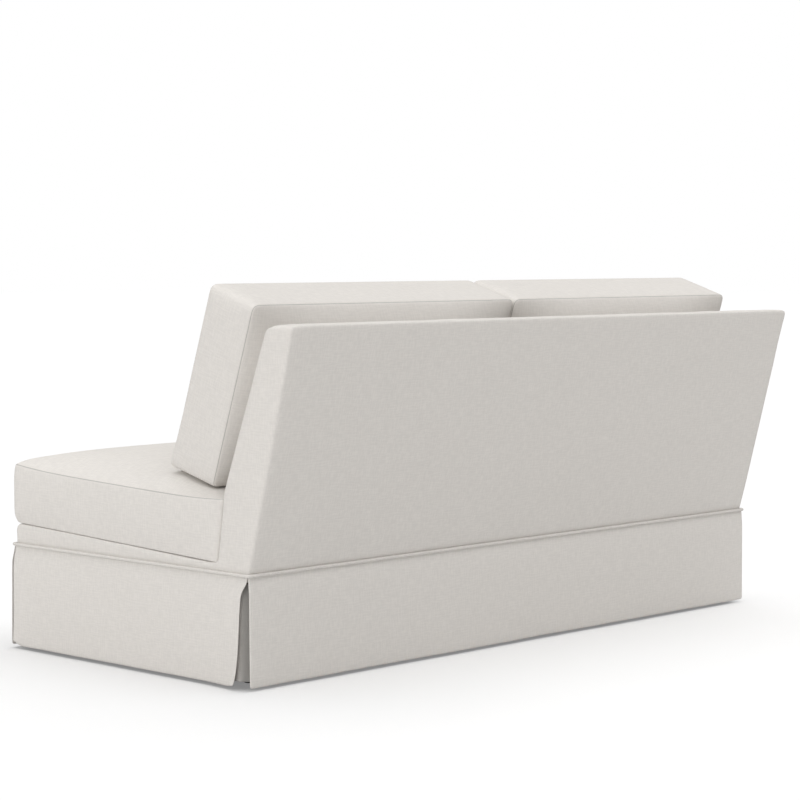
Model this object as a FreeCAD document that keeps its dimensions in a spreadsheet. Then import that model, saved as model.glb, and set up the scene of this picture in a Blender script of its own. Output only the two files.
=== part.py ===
"""Skirted armless loveseat: slipcovered seat and back on a hardwood frame, with four loose cushions.

Millimetres. +Z is up, the front faces -Y, and the sitter's left is +X.
Depths in the sheet are measured backwards from the front border plane.
"""
import FreeCAD
import Part
import Sketcher
import math
import os

SIZES = [
    # Slipcover outline
    ("body_width", 1822),
    ("body_depth", 822),
    ("welt_height", 255),
    ("border_drop", 20),
    ("deck_rise_front", 50),
    ("deck_rise_rear", 18),
    ("back_height", 800),
    ("back_setback", 143),
    ("back_foot_thickness", 101),
    ("back_top_thickness", 82),
    ("knee_run", 23),
    ("knee_rise", 157),
    ("border_thickness", 14),
    ("cover_thickness", 4),
    ("rear_cover_thickness", 10),
    ("back_corner_radius", 30),
    ("deck_corner_radius", 12),
    # Welt, skirt and pleat flaps
    ("welt_diameter", 10),
    ("welt_standoff", 0.5),
    ("hem_clearance", 10),
    ("skirt_thickness", 3),
    ("skirt_curl_length", 140),
    ("end_skirt_curl", 14),
    ("end_skirt_shortfall", 41),
    ("front_skirt_flare", 14),
    ("rear_skirt_flare", 3),
    ("flap_leaf", 110),
    ("flap_thickness", 2),
    ("flap_recess", 7),
    ("flap_hem", 26),
    # Hardwood frame
    ("wood_thickness", 28),
    ("rail_bottom", 115),
    ("spring_clearance", 30),
    ("top_rail_height", 76),
    ("back_rail_height", 60),
    ("seat_rail_rise", 17),
    ("block_leg", 120),
    ("block_height", 60),
    # Legs
    ("leg_inset", 42),
    ("leg_top_width", 56),
    ("leg_foot_width", 40),
    ("glide_radius", 15),
    ("glide_height", 4),
    ("bolt_diameter", 8),
    ("bolt_length", 90),
    ("bolt_in_leg", 42),
    ("bolt_clearance", 0.2),
    ("dust_cover_thickness", 1),
    # Suspension and padding
    ("deck_pad_thickness", 16),
    ("spring_wire", 4),
    ("clip_plate", 1),
    ("clip_width", 22),
    ("clip_depth", 14),
    ("spring_half_width", 24),
    ("springs_per_seat", 5),
    ("spring_bars", 17),
    ("back_pad_thickness", 18),
    ("webbing_thickness", 2),
    ("webbing_gap", 26),
    ("webbing_rise", 12),
    ("webbing_margin", 22),
    ("webbing_straps", 4),
    ("top_pad_thickness", 30),
    ("board_thickness", 4),
    # Cushions
    ("fit_gap", 0.4),
    ("cushion_gap", 3),
    ("cushion_wall", 5),
    ("core_gap", 0.8),
    ("seat_boxing", 142),
    ("seat_crown", 28),
    ("seat_front_bulge", 7),
    ("draw_in", 5),
    ("back_inset", 43),
    ("back_boxing", 135),
    ("back_cushion_height", 430),
    ("back_cushion_slack", 2.2),
    ("back_foot_gap", 62),
    ("back_front_crown", 46),
    ("zip_margin", 85),
    ("zip_width", 10),
    ("zip_thickness", 2),
    ("slider_length", 14),
]

# Share of a cushion's crown at each cross-section, from one end to the other
CROWN_STATIONS = [(-1.0, 0.07), (-0.55, 1.0), (0.55, 1.0), (1.0, 0.07)]
SIDES = [("left", 1), ("right", -1)]

doc = FreeCAD.newDocument("SkirtedLoveseat")
sheet = doc.addObject("Spreadsheet::Sheet", "Sizes")
for row, (alias, value) in enumerate(SIZES, start=1):
    sheet.set(f"A{row}", alias)
    sheet.set(f"B{row}", str(value))
    sheet.setAlias(f"B{row}", alias)
doc.recompute()
nodes = {}


class Size:
    """A length together with the sheet expression that gives it."""

    def __init__(self, text, value):
        self.text = text
        self.value = float(value)

    def _join(self, sign, other, value):
        return Size(f"({self.text} {sign} {other.text})", value)

    def __add__(self, other):
        other = as_size(other)
        return self._join("+", other, self.value + other.value)

    def __sub__(self, other):
        other = as_size(other)
        return self._join("-", other, self.value - other.value)

    def __mul__(self, other):
        other = as_size(other)
        return self._join("*", other, self.value * other.value)

    def __truediv__(self, other):
        other = as_size(other)
        return self._join("/", other, self.value / other.value)

    def __rsub__(self, other):
        return as_size(other) - self

    def __neg__(self):
        return Size(f"(-1 * {self.text})", -self.value)

    __radd__ = __add__
    __rmul__ = __mul__


def as_size(number):
    """A Size as it is, or a plain number as one."""
    return number if isinstance(number, Size) else Size(repr(float(number)), number)


def size(alias):
    """The named cell of the sheet."""
    return Size(f"Sizes.{alias}", sheet.get(alias))


def val(alias):
    """The named cell's number."""
    return float(sheet.get(alias))


def bind(thing, **links):
    """Bind each property to its Size."""
    for name, length in links.items():
        thing.setExpression(name, as_size(length).text)


def place(thing, x=0, y=0, z=0):
    """Bind a placement; y is a depth behind the front border plane."""
    thing.setExpression("Placement.Base.x", as_size(x).text)
    thing.setExpression("Placement.Base.y", (front_plane + y).text)
    thing.setExpression("Placement.Base.z", as_size(z).text)


def node(name, thing):
    """Keep an object as the sub-part of that name."""
    thing.Label = name
    nodes[name] = thing
    return thing


def box(name, x, y, z, dx, dy, dz):
    thing = doc.addObject("Part::Box", name)
    bind(thing, Length=dx, Width=dy, Height=dz)
    place(thing, x, y, z)
    return thing


def cylinder(name, x, y, z, radius, height):
    thing = doc.addObject("Part::Cylinder", name)
    bind(thing, Radius=radius, Height=height)
    place(thing, x, y, z)
    return thing


def cut(name, base, tool):
    thing = doc.addObject("Part::Cut", name)
    thing.Base = base
    thing.Tool = tool
    return thing


def group(name, things):
    thing = doc.addObject("Part::Compound", name)
    thing.Links = things
    return thing


def polygon_sketch(body, name, plane, points):
    """A closed outline whose corners are each held by two bound distances from the origin."""
    sketch = body.newObject("Sketcher::SketchObject", name)
    support = [f for f in body.Origin.OriginFeatures if f.Role == plane][0]
    sketch.AttachmentSupport = [(support, "")]
    sketch.MapMode = "FlatFace"
    corners = [FreeCAD.Vector(a.value, b.value, 0) for a, b in points]
    count = len(corners)
    for i in range(count):
        sketch.addGeometry(Part.LineSegment(corners[i], corners[(i + 1) % count]), False)
    for i in range(count):
        sketch.addConstraint(Sketcher.Constraint("Coincident", i, 2, (i + 1) % count, 1))
    for i, corner in enumerate(points):
        for kind, distance in zip(("DistanceX", "DistanceY"), corner):
            index = sketch.addConstraint(Sketcher.Constraint(kind, -1, 1, i, 1, distance.value))
            sketch.setExpression(f"Constraints[{index}]", distance.text)
    return sketch


def pad_body(name, plane, points, length, x=0, y=0, z=0):
    """A body padded from a polygon."""
    body = doc.addObject("PartDesign::Body", name)
    points = [(as_size(a), as_size(b)) for a, b in points]
    sketch = polygon_sketch(body, f"{name}_outline", plane, points)
    pad = body.newObject("PartDesign::Pad", f"{name}_pad")
    pad.Profile = sketch
    sketch.Visibility = False
    bind(pad, Length=length)
    place(body, x, y, z)
    return body


def slab(name, points, start, thickness):
    """A body whose outline of (depth, height) corners is padded along X."""
    return pad_body(name, "YZ_Plane", points, thickness, x=start)


def round_edges(body, rounds):
    """Fillet the long edges of a slab at the given (depth, height) corners."""
    for number, (depth, height, radius) in enumerate(rounds):
        doc.recompute()
        base = body.Tip
        names = []
        for i, edge in enumerate(base.Shape.Edges, start=1):
            ends = [(v.Point.y, v.Point.z) for v in edge.Vertexes]
            at_corner = all(math.hypot(a - depth.value, b - height.value) < 0.01 for a, b in ends)
            if at_corner:
                names.append(f"Edge{i}")
        fillet = body.newObject("PartDesign::Fillet", f"{body.Name}_round{number}")
        fillet.Base = (base, names)
        bind(fillet, Radius=radius)
    return body


def solid_feature(name, shape, y=0):
    """A part whose shape is worked out from the sheet's numbers, moved to its depth."""
    thing = doc.addObject("Part::Feature", name)
    thing.Shape = shape
    move = FreeCAD.Placement(FreeCAD.Vector(0, front_plane.value + y, 0), FreeCAD.Rotation())
    thing.Placement = move.multiply(shape.Placement)
    return thing


# Places shared by the sub-parts
border_foot = size("welt_height") - size("border_drop")
deck_front = size("welt_height") + size("deck_rise_front")
deck_rear = size("welt_height") + size("deck_rise_rear")
seat_depth = size("body_depth") - size("back_foot_thickness")
knee_depth = seat_depth + size("knee_run")
knee_height = deck_rear + size("knee_rise")
back_top_depth = size("body_depth") + size("back_setback") - size("back_top_thickness")
back_foot_depth = seat_depth - size("back_foot_gap")
body_rear = size("body_depth") + size("back_setback")
front_reach = size("front_skirt_flare") + size("skirt_thickness")
front_plane = -(body_rear - front_reach) / 2
half_width = size("body_width") / 2
frame_half = half_width - size("border_thickness")
post_inner = frame_half - size("wood_thickness")
frame_front = size("border_thickness")
rail_back = frame_front + size("wood_thickness")
frame_rear = size("body_depth") - size("rear_cover_thickness") - size("board_thickness")
rear_rail_front = frame_rear - size("wood_thickness")
front_layers = size("cover_thickness") + size("back_pad_thickness") + size("webbing_thickness")
post_front = seat_depth + front_layers
deck_pad_under = size("cover_thickness") + size("deck_pad_thickness")
spring_under = deck_pad_under + size("spring_wire") + size("clip_plate") * 2
deck_slope = (deck_front - deck_rear) / seat_depth
lower_lean = (knee_depth - seat_depth) / (knee_height - deck_rear)
front_lean = (back_top_depth - knee_depth) / (size("back_height") - knee_height)
rear_lean = size("back_setback") / (size("back_height") - size("welt_height"))
cover_top = size("back_height") - size("cover_thickness")
frame_top = cover_top - size("top_pad_thickness")


def deck(depth):
    """Height of the sloped deck at a depth."""
    return deck_front - deck_slope * depth


centre_rail_top = deck(rear_rail_front) - spring_under - size("spring_clearance")


def back_face(height):
    """Depth of the back's front face above the knee."""
    return knee_depth + (as_size(height) - knee_height) * front_lean


def rear_face(height):
    """Depth of the back's rear face above the welt."""
    return size("body_depth") + (as_size(height) - size("welt_height")) * rear_lean


def side_start(sign, inner, thickness):
    """Where a piece that starts at inner on the left starts on either side."""
    return inner if sign > 0 else -(inner + thickness)


def make_base_frame():
    width = frame_half * 2
    rail_foot = size("rail_bottom")
    front_top = deck(rail_back) - spring_under
    node("front_rail", box("FrontRail", -frame_half, frame_front, rail_foot,
                           width, size("wood_thickness"), front_top - rail_foot))
    rear_top = deck(frame_rear) - spring_under
    node("rear_rail", box("RearRail", -post_inner, rear_rail_front, rail_foot,
                          post_inner * 2, size("wood_thickness"), rear_top - rail_foot))
    for side, sign in SIDES:
        outline = [
            (rail_back, rail_foot),
            (post_front, rail_foot),
            (post_front, deck(post_front) - deck_pad_under),
            (rail_back, deck(rail_back) - deck_pad_under),
        ]
        start = side_start(sign, post_inner, size("wood_thickness"))
        node(f"end_rail_{side}", slab(f"EndRail_{side}", outline, start, size("wood_thickness")))
    rail = box("CentreRailBlank", -size("wood_thickness") / 2, rail_back, rail_foot,
               size("wood_thickness"), rear_rail_front - rail_back, centre_rail_top - rail_foot)
    node("centre_rail", cut("CentreRail", rail, bolt_bores))
    blocks = []
    for side, sign in SIDES:
        for end, depth, inward in (("front", rail_back, 1), ("rear", rear_rail_front, -1)):
            corner = post_inner * sign
            reach = size("block_leg")
            outline = [(corner, depth), (corner - reach * sign, depth), (corner, depth + reach * inward)]
            block_name = f"Block_{end}_{side}"
            blocks.append(pad_body(block_name, "XY_Plane", outline, size("block_height"), z=rail_foot))
    node("corner_blocks", cut("CornerBlocks", group("CornerBlockBlanks", blocks), bolt_bores))


def leg_places():
    """The five legs' names and centres."""
    spots = []
    reach = post_inner - size("leg_inset")
    for side, sign in SIDES:
        spots.append((f"front_{side}", reach * sign, rail_back + size("leg_inset")))
        spots.append((f"rear_{side}", reach * sign, rear_rail_front - size("leg_inset")))
    spots.append(("centre", as_size(0), (rail_back + rear_rail_front) / 2))
    return spots


def make_bolts():
    """The leg bolts, and the bores that they pass through."""
    foot = leg_top - size("bolt_in_leg")
    radius = size("bolt_diameter") / 2
    slack = size("bolt_clearance")
    bolts = []
    bores = []
    for name, x, y in leg_places():
        bolts.append(cylinder(f"Bolt_{name}", x, y, foot, radius, size("bolt_length")))
        deep = size("bolt_length") + slack * 2
        bores.append(cylinder(f"Bore_{name}", x, y, foot - slack, radius + slack, deep))
    node("leg_bolts", group("LegBolts", bolts))
    return group("BoltBores", bores)


def make_legs():
    glides = []
    for name, x, y in leg_places():
        leg = doc.addObject("Part::Wedge", f"LegBlank_{name}")
        foot = size("leg_foot_width") / 2
        top = size("leg_top_width") / 2
        bind(leg, Xmin=-foot, Xmax=foot, Zmin=-foot, Zmax=foot)
        bind(leg, X2min=-top, X2max=top, Z2min=-top, Z2max=top)
        bind(leg, Ymin=0, Ymax=leg_top - size("glide_height"))
        leg.Placement = FreeCAD.Placement(FreeCAD.Vector(), FreeCAD.Rotation(FreeCAD.Vector(1, 0, 0), 90))
        place(leg, x, y, size("glide_height"))
        node(f"leg_{name}", cut(f"Leg_{name}", leg, bolt_bores))
        glides.append(cylinder(f"Glide_{name}", x, y, 0, size("glide_radius"), size("glide_height")))
    node("leg_glides", group("LegGlides", glides))
    sheet_cloth = box("DustCoverBlank", -frame_half, frame_front, leg_top,
                      frame_half * 2, frame_rear - frame_front, size("dust_cover_thickness"))
    node("dust_cover", cut("DustCover", sheet_cloth, bolt_bores))


def make_back_frame():
    post_lines = [
        (post_front, deck_rear),
        (knee_depth + front_layers, knee_height),
        (back_face(frame_top) + front_layers, frame_top),
    ]
    shell = size("rear_cover_thickness") + size("board_thickness")
    rail_layers = shell + size("wood_thickness")
    end_outline = [(post_front, size("rail_bottom"))] + post_lines + [
        (rear_face(frame_top) - shell, frame_top),
        (frame_rear, size("welt_height")),
        (frame_rear, size("rail_bottom")),
    ]
    for side, sign in SIDES:
        start = side_start(sign, post_inner, size("wood_thickness"))
        node(f"back_post_{side}", slab(f"BackPost_{side}", end_outline, start, size("wood_thickness")))
    centre_outline = [(post_front, centre_rail_top)] + post_lines + [
        (rear_face(frame_top) - rail_layers, frame_top),
        (rear_rail_front, size("welt_height")),
        (rear_rail_front, centre_rail_top),
    ]
    centre_start = -size("wood_thickness") / 2
    node("back_post_centre", slab("BackPostCentre", centre_outline, centre_start, size("wood_thickness")))
    top_foot = frame_top - size("top_rail_height")
    seat_foot = deck_rear + size("seat_rail_rise")
    rails = [
        ("back_top_rail", top_foot, size("top_rail_height")),
        ("back_lumbar_rail", (seat_foot + top_foot) / 2, size("back_rail_height")),
        ("back_seat_rail", seat_foot, size("back_rail_height")),
    ]
    for name, foot, height in rails:
        top = foot + height
        outline = [
            (rear_face(foot) - rail_layers, foot),
            (rear_face(top) - rail_layers, top),
            (rear_face(top) - shell, top),
            (rear_face(foot) - shell, foot),
        ]
        node(name, slab(f"Rail_{name}", outline, -post_inner, post_inner * 2))


def make_back_padding():
    cover = size("cover_thickness")
    pad_rear = cover + size("back_pad_thickness")
    straps = []
    first = knee_height + size("webbing_rise")
    pitch = (frame_top - size("webbing_margin") + size("webbing_gap") - first) / size("webbing_straps")
    for number in range(int(val("webbing_straps"))):
        foot = first + pitch * number
        top = foot + pitch - size("webbing_gap")
        outline = [
            (back_face(foot) + pad_rear, foot),
            (back_face(top) + pad_rear, top),
            (back_face(top) + front_layers, top),
            (back_face(foot) + front_layers, foot),
        ]
        straps.append(slab(f"Strap_{number}", outline, -frame_half, frame_half * 2))
    node("back_webbing", group("BackWebbing", straps))
    pad_outline = [
        (seat_depth + cover, deck(seat_depth + cover)),
        (knee_depth + cover, knee_height),
        (back_face(frame_top) + cover, frame_top),
        (back_face(frame_top) + pad_rear, frame_top),
        (knee_depth + pad_rear, knee_height),
        (seat_depth + pad_rear, deck(seat_depth + pad_rear)),
    ]
    node("inside_back_pad", slab("InsideBackPad", pad_outline, -frame_half, frame_half * 2))
    rear_cover = size("rear_cover_thickness")
    top_outline = [
        (back_face(frame_top) + cover, frame_top),
        (back_face(cover_top) + cover, cover_top),
        (rear_face(cover_top) - rear_cover, cover_top),
        (rear_face(frame_top) - rear_cover, frame_top),
    ]
    top_pad = slab("BackTopPad", top_outline, -frame_half, frame_half * 2)
    inner_radius = size("back_corner_radius") - cover
    node("back_top_pad", round_edges(top_pad, [(back_face(cover_top) + cover, cover_top, inner_radius)]))
    board = rear_cover + size("board_thickness")
    board_outline = [
        (size("body_depth") - board, size("welt_height")),
        (rear_face(frame_top) - board, frame_top),
        (rear_face(frame_top) - rear_cover, frame_top),
        (size("body_depth") - rear_cover, size("welt_height")),
    ]
    node("outside_back_board", slab("OutsideBackBoard", board_outline, -frame_half, frame_half * 2))


def make_slipcover():
    cover = size("cover_thickness")
    top = size("back_height")
    foot = border_foot
    width = frame_half * 2
    front_corner = (as_size(0), deck(as_size(0)))
    top_corner = (back_top_depth, top)
    end_outline = [
        (as_size(0), foot),
        front_corner,
        (seat_depth, deck_rear),
        (knee_depth, knee_height),
        top_corner,
        (body_rear, top),
        (size("body_depth"), size("welt_height")),
        (size("body_depth"), foot),
    ]
    for side, sign in SIDES:
        start = side_start(sign, frame_half, size("border_thickness"))
        panel = slab(f"EndPanel_{side}", end_outline, start, size("border_thickness"))
        rounds = [(*top_corner, size("back_corner_radius")), (*front_corner, size("deck_corner_radius"))]
        node(f"end_panel_{side}", round_edges(panel, rounds))
    border_outline = [
        front_corner,
        (frame_front, deck(frame_front)),
        (frame_front, foot),
        (as_size(0), foot),
    ]
    border = slab("FrontBorder", border_outline, -frame_half, width)
    node("front_border", round_edges(border, [(*front_corner, size("deck_corner_radius"))]))
    deck_outline = [
        (frame_front, deck(frame_front)),
        (post_front, deck(post_front)),
        (post_front, deck(post_front) - cover),
        (frame_front, deck(frame_front) - cover),
    ]
    node("deck_cover", slab("DeckCover", deck_outline, -frame_half, width))
    pad_outline = [
        (frame_front, deck(frame_front) - cover),
        (post_front, deck(post_front) - cover),
        (post_front, deck(post_front) - deck_pad_under),
        (frame_front, deck(frame_front) - deck_pad_under),
    ]
    node("deck_pad", slab("DeckPad", pad_outline, -frame_half, width))
    inner_corner = (back_face(cover_top) + cover, cover_top)
    inside_outline = [
        (seat_depth, deck_rear),
        (knee_depth, knee_height),
        top_corner,
        (body_rear, top),
        (rear_face(cover_top), cover_top),
        inner_corner,
        (knee_depth + cover, knee_height),
        (seat_depth + cover, deck(seat_depth + cover)),
    ]
    inside = slab("InsideBackCover", inside_outline, -frame_half, width)
    inner_radius = size("back_corner_radius") - cover
    rounds = [(*top_corner, size("back_corner_radius")), (*inner_corner, inner_radius)]
    node("inside_back_cover", round_edges(inside, rounds))
    rear_cover = size("rear_cover_thickness")
    outside_outline = [
        (size("body_depth") - rear_cover, foot),
        (size("body_depth") - rear_cover, size("welt_height")),
        (rear_face(cover_top) - rear_cover, cover_top),
        (rear_face(cover_top), cover_top),
        (size("body_depth"), size("welt_height")),
        (size("body_depth"), foot),
    ]
    node("outside_back_cover", slab("OutsideBackCover", outside_outline, -frame_half, width))


def make_welt():
    """A cord swept all round the base, with mitred corners."""
    radius = size("welt_diameter") / 2
    offset = radius + size("welt_standoff")
    path = doc.addObject("Part::Plane", "WeltPath")
    bind(path, Length=size("body_width") + offset * 2, Width=size("body_depth") + offset * 2)
    place(path, -half_width - offset, -offset, size("welt_height"))
    ring = doc.addObject("Part::Circle", "WeltSection")
    bind(ring, Radius=radius)
    ring.Placement = FreeCAD.Placement(FreeCAD.Vector(), FreeCAD.Rotation(FreeCAD.Vector(0, 1, 0), 90))
    place(ring, 0, -offset, size("welt_height"))
    doc.recompute()
    welt = doc.addObject("Part::Sweep", "SkirtWelt")
    welt.Sections = [ring]
    welt.Spine = (path, [f"Edge{i + 1}" for i in range(4)])
    welt.Solid = True
    welt.Transition = "Right corner"
    node("skirt_welt", welt)


def skirt_section(half_length, offset, curl, height):
    """The closed outline of a hanging panel at one height, with its ends curled outwards."""
    thick = val("skirt_thickness")
    straight = half_length - val("skirt_curl_length")
    middle = (half_length + straight) / 2

    def point(u, w):
        return FreeCAD.Vector(u, w, height)

    def bend(a, b, c):
        return Part.Arc(a, b, c).toShape()

    near = offset + curl * 0.27
    inner = [
        bend(point(-half_length, offset + curl), point(-middle, near), point(-straight, offset)),
        Part.makeLine(point(-straight, offset), point(straight, offset)),
        bend(point(straight, offset), point(middle, near), point(half_length, offset + curl)),
    ]
    end = offset + thick
    outer = [
        bend(point(half_length, end + curl), point(middle, near + thick), point(straight, end)),
        Part.makeLine(point(straight, end), point(-straight, end)),
        bend(point(-straight, end), point(-middle, near + thick), point(-half_length, end + curl)),
    ]
    right_edge = Part.makeLine(point(half_length, offset + curl), point(half_length, end + curl))
    left_edge = Part.makeLine(point(-half_length, end + curl), point(-half_length, offset + curl))
    return Part.Wire(inner + [right_edge] + outer + [left_edge])


def make_skirts():
    """Four hanging panels, each lofted through its outlines from the welt down to the hem."""
    top = val("welt_height") - val("welt_diameter") / 2
    drop = top - val("hem_clearance")
    wide = val("body_width") / 2 + val("skirt_thickness")
    deep = val("body_depth") / 2
    flat_curl = 0.3
    front = [(0, 0, 0), (0.3, 0.7, 0), (1, 1, 0)]
    ends = [(0, 0, 0), (0.15, 0.3, 0.6), (1, 0.6, 1)]
    out = val("rear_skirt_flare")
    bend = val("end_skirt_curl")
    short = val("end_skirt_shortfall")
    beside = val("body_width") / 2
    panels = [
        ("front_skirt", wide, val("front_skirt_flare"), flat_curl, 0, front, -90, (0, 0)),
        ("rear_skirt", wide, out, flat_curl, 0, front, 90, (0, val("body_depth"))),
        ("skirt_left", deep, out, bend, short, ends, 0, (beside, deep)),
        ("skirt_right", deep, out, bend, short, ends, 180, (-beside, deep)),
    ]
    for name, half, flare, curl, shortfall, levels, turn, (x, y) in panels:
        wires = []
        for down, share, drawn in levels:
            end_curl = max(curl * down, flat_curl)
            length = half - shortfall * drawn
            wires.append(skirt_section(length, flare * share, end_curl, top - drop * down))
        shape = Part.makeLoft(wires, True, True)
        # Local +Y is outwards, so a panel that faces +X is turned back by a quarter
        spin = FreeCAD.Rotation(FreeCAD.Vector(0, 0, 1), turn - 90)
        thing = doc.addObject("Part::Feature", name)
        thing.Shape = shape
        thing.Placement = FreeCAD.Placement(FreeCAD.Vector(x, front_plane.value + y, 0), spin)
        node(name, thing)


def make_flaps():
    """The cloth behind each open pleat, bent round its corner below the border."""
    recess = size("flap_recess")
    back = recess + size("flap_thickness")
    reach = recess + size("flap_leaf")
    height = border_foot - size("flap_hem")
    for side, sign in SIDES:
        for end, depth, inward in (("front", as_size(0), 1), ("rear", size("body_depth"), -1)):
            edge = half_width

            def spot(a, b):
                return ((edge - a) * sign, depth + b * inward)

            outline = [spot(recess, recess), spot(recess, reach), spot(back, reach),
                       spot(back, back), spot(reach, back), spot(reach, recess)]
            flap = pad_body(f"Flap_{end}_{side}", "XY_Plane", outline, height, z=size("flap_hem"))
            node(f"pleat_flap_{end}_{side}", flap)


def zigzag(bars, pitch, half):
    """Corner points of a zigzag wire that starts and ends on a full crossing bar."""
    points = []
    for k in range(bars):
        first, last = (-half, half) if k % 2 == 0 else (half, -half)
        points += [(first, k * pitch), (last, k * pitch)]
    return points


def ribbon(points, wide):
    """The outline of a wire of square corners, half its width to each side of its line."""
    sides = ([], [])
    count = len(points)
    for i, (x, y) in enumerate(points):
        before = points[max(i - 1, 0)]
        after = points[min(i + 1, count - 1)]
        normals = []
        for (ax, ay), (bx, by) in ((before, (x, y)), ((x, y), after)):
            length = math.hypot(bx - ax, by - ay)
            if length:
                normals.append(((ay - by) / length, (bx - ax) / length))
        if len(normals) == 1:
            nx, ny = normals[0]
        else:
            nx = normals[0][0] + normals[1][0]
            ny = normals[0][1] + normals[1][1]
        sides[0].append(FreeCAD.Vector(x + nx * wide / 2, y + ny * wide / 2, 0))
        sides[1].append(FreeCAD.Vector(x - nx * wide / 2, y - ny * wide / 2, 0))
    return sides[0] + sides[1][::-1]


def make_springs():
    """Zigzag springs hooked at both ends into clips on the front and rear rails."""
    wire = val("spring_wire")
    plate = val("clip_plate")
    half = val("spring_half_width")
    first = (frame_front.value + rail_back.value) / 2
    last = (rear_rail_front.value + frame_rear.value) / 2
    tilt = math.atan(deck_slope.value)
    pitch = (last - first) / math.cos(tilt) / (int(val("spring_bars")) - 1)
    outline = ribbon(zigzag(int(val("spring_bars")), pitch, half), wire)
    flat = Part.Face(Part.makePolygon(outline + outline[:1]))
    spring = flat.extrude(FreeCAD.Vector(0, 0, wire))
    deep = val("clip_depth")
    tall = wire + plate * 2
    hook = deep / 2
    c_shape = [(-hook, 0), (hook, 0), (hook, plate), (-hook + plate, plate), (-hook + plate, tall - plate),
               (hook, tall - plate), (hook, tall), (-hook, tall)]
    corners = [FreeCAD.Vector(-val("clip_width") / 2, y, z - plate) for y, z in c_shape]
    clip_side = Part.Face(Part.makePolygon(corners + corners[:1]))
    front_clip = clip_side.extrude(FreeCAD.Vector(val("clip_width"), 0, 0))
    rear_clip = front_clip.mirror(FreeCAD.Vector(), FreeCAD.Vector(0, 1, 0))
    rear_clip.translate(FreeCAD.Vector(0, pitch * (int(val("spring_bars")) - 1), 0))
    springs = []
    clips = []
    rows = int(val("springs_per_seat"))
    height = deck(as_size(first)).value - deck_pad_under.value - (plate + wire) / math.cos(tilt)
    rest = FreeCAD.Rotation(FreeCAD.Vector(1, 0, 0), -math.degrees(tilt))
    for side, sign in SIDES:
        for k in range(rows):
            x = sign * post_inner.value * (k + 0.5) / rows
            spot = FreeCAD.Placement(FreeCAD.Vector(x, first, height), rest)
            for source, kept in ((spring, springs), (front_clip, clips), (rear_clip, clips)):
                copy = source.copy()
                copy.Placement = spot.multiply(copy.Placement)
                kept.append(copy)
    node("seat_springs", solid_feature("SeatSprings", Part.makeCompound(springs)))
    node("spring_clips", solid_feature("SpringClips", Part.makeCompound(clips)))


def closed_section(x, corners, bulges):
    """A closed outline at one cross-section; a side with a bulge is an arc, the rest are lines."""
    edges = []
    count = len(corners)
    for i, bulge in enumerate(bulges):
        (ay, az), (by, bz) = corners[i], corners[(i + 1) % count]
        start = FreeCAD.Vector(x, ay, az)
        end = FreeCAD.Vector(x, by, bz)
        if not bulge:
            edges.append(Part.makeLine(start, end))
            continue
        length = math.hypot(by - ay, bz - az)
        out = FreeCAD.Vector(0, (bz - az) / length, (ay - by) / length)
        middle = (start + end) * 0.5 + out * bulge
        edges.append(Part.Arc(start, middle, end).toShape())
    return Part.Wire(edges)


def seat_section(x, share, inset, plain=False):
    """A seat cushion's outline: bottom, rear, crowned top and bulged front."""
    gap = val("fit_gap")
    middle = (share - CROWN_STATIONS[0][1]) / (1 - CROWN_STATIONS[0][1])
    front = val("draw_in") * middle + inset
    rear = seat_depth.value - gap - inset
    boxing = val("seat_boxing") - inset * 2
    low_front = deck(as_size(front)).value + gap + inset
    low_rear = deck(as_size(rear)).value + gap + inset
    top_rear = rear + boxing * lower_lean.value
    corners = [
        (front, low_front),
        (rear, low_rear),
        (top_rear, low_rear + boxing),
        (front, low_front + boxing),
    ]
    crown = 0 if plain else val("seat_crown") * share
    bulge = 0 if plain else val("seat_front_bulge") * share
    return closed_section(x, corners, [0, 0, crown, bulge])


def seat_top(depth):
    """Height of a seat cushion's crown at a depth, on its middle line."""
    shape = seat_section(0, 1, 0)
    arc = shape.OrderedEdges[2].Curve
    centre = arc.Center
    return centre.z + math.sqrt(arc.Radius ** 2 - (depth - centre.y) ** 2)


def cushion_lean():
    """A back cushion leans as the back does, less a little."""
    return math.atan(front_lean.value) - math.radians(val("back_cushion_slack"))


def back_section(x, share, inset, plain=False):
    """A back cushion's outline: bottom, crowned rear, top and crowned front, leaning with the back."""
    lean = cushion_lean()
    up = (math.sin(lean), math.cos(lean))
    ahead = (-math.cos(lean), math.sin(lean))
    foot = back_foot_depth.value
    middle = (share - CROWN_STATIONS[0][1]) / (1 - CROWN_STATIONS[0][1])
    low = inset
    high = val("back_cushion_height") - val("draw_in") * middle - inset
    near = inset
    far = val("back_boxing") - inset

    def spot(t, rise):
        return (foot + ahead[0] * t + up[0] * rise, back_rest + ahead[1] * t + up[1] * rise)

    corners = [spot(far, low), spot(near, low), spot(near, high), spot(far, high)]
    rear_crown = 0 if plain else back_rear_crown * share
    front_crown = 0 if plain else val("back_front_crown") * share
    return closed_section(x, corners, [0, rear_crown, 0, front_crown])


def rear_crown_size():
    """How far a back cushion's rear swells before it meets the back."""
    lean = cushion_lean()
    half = val("back_cushion_height") / 2
    middle = (back_foot_depth.value + math.sin(lean) * half, back_rest + math.cos(lean) * half)
    face = back_face(middle[1]).value
    slope = math.atan(front_lean.value)
    return (face - middle[0]) * math.cos(slope) / math.cos(slope - lean) - val("fit_gap") * 2


def crowned_form(section, inner, outer):
    """A cushion's soft outside between two ends, lofted through its stations."""
    centre = (inner + outer) / 2
    half = (outer - inner) / 2
    wires = [section(centre + half * s, share, 0) for s, share in CROWN_STATIONS]
    return Part.makeLoft(wires, True, True)


def plain_form(section, inner, outer, inset):
    """The straight-sided block that lies inside a cushion by the given inset."""
    outline = Part.Face(section(inner + inset, 1, inset, True))
    return outline.extrude(FreeCAD.Vector(outer - inner - inset * 2, 0, 0))


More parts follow.
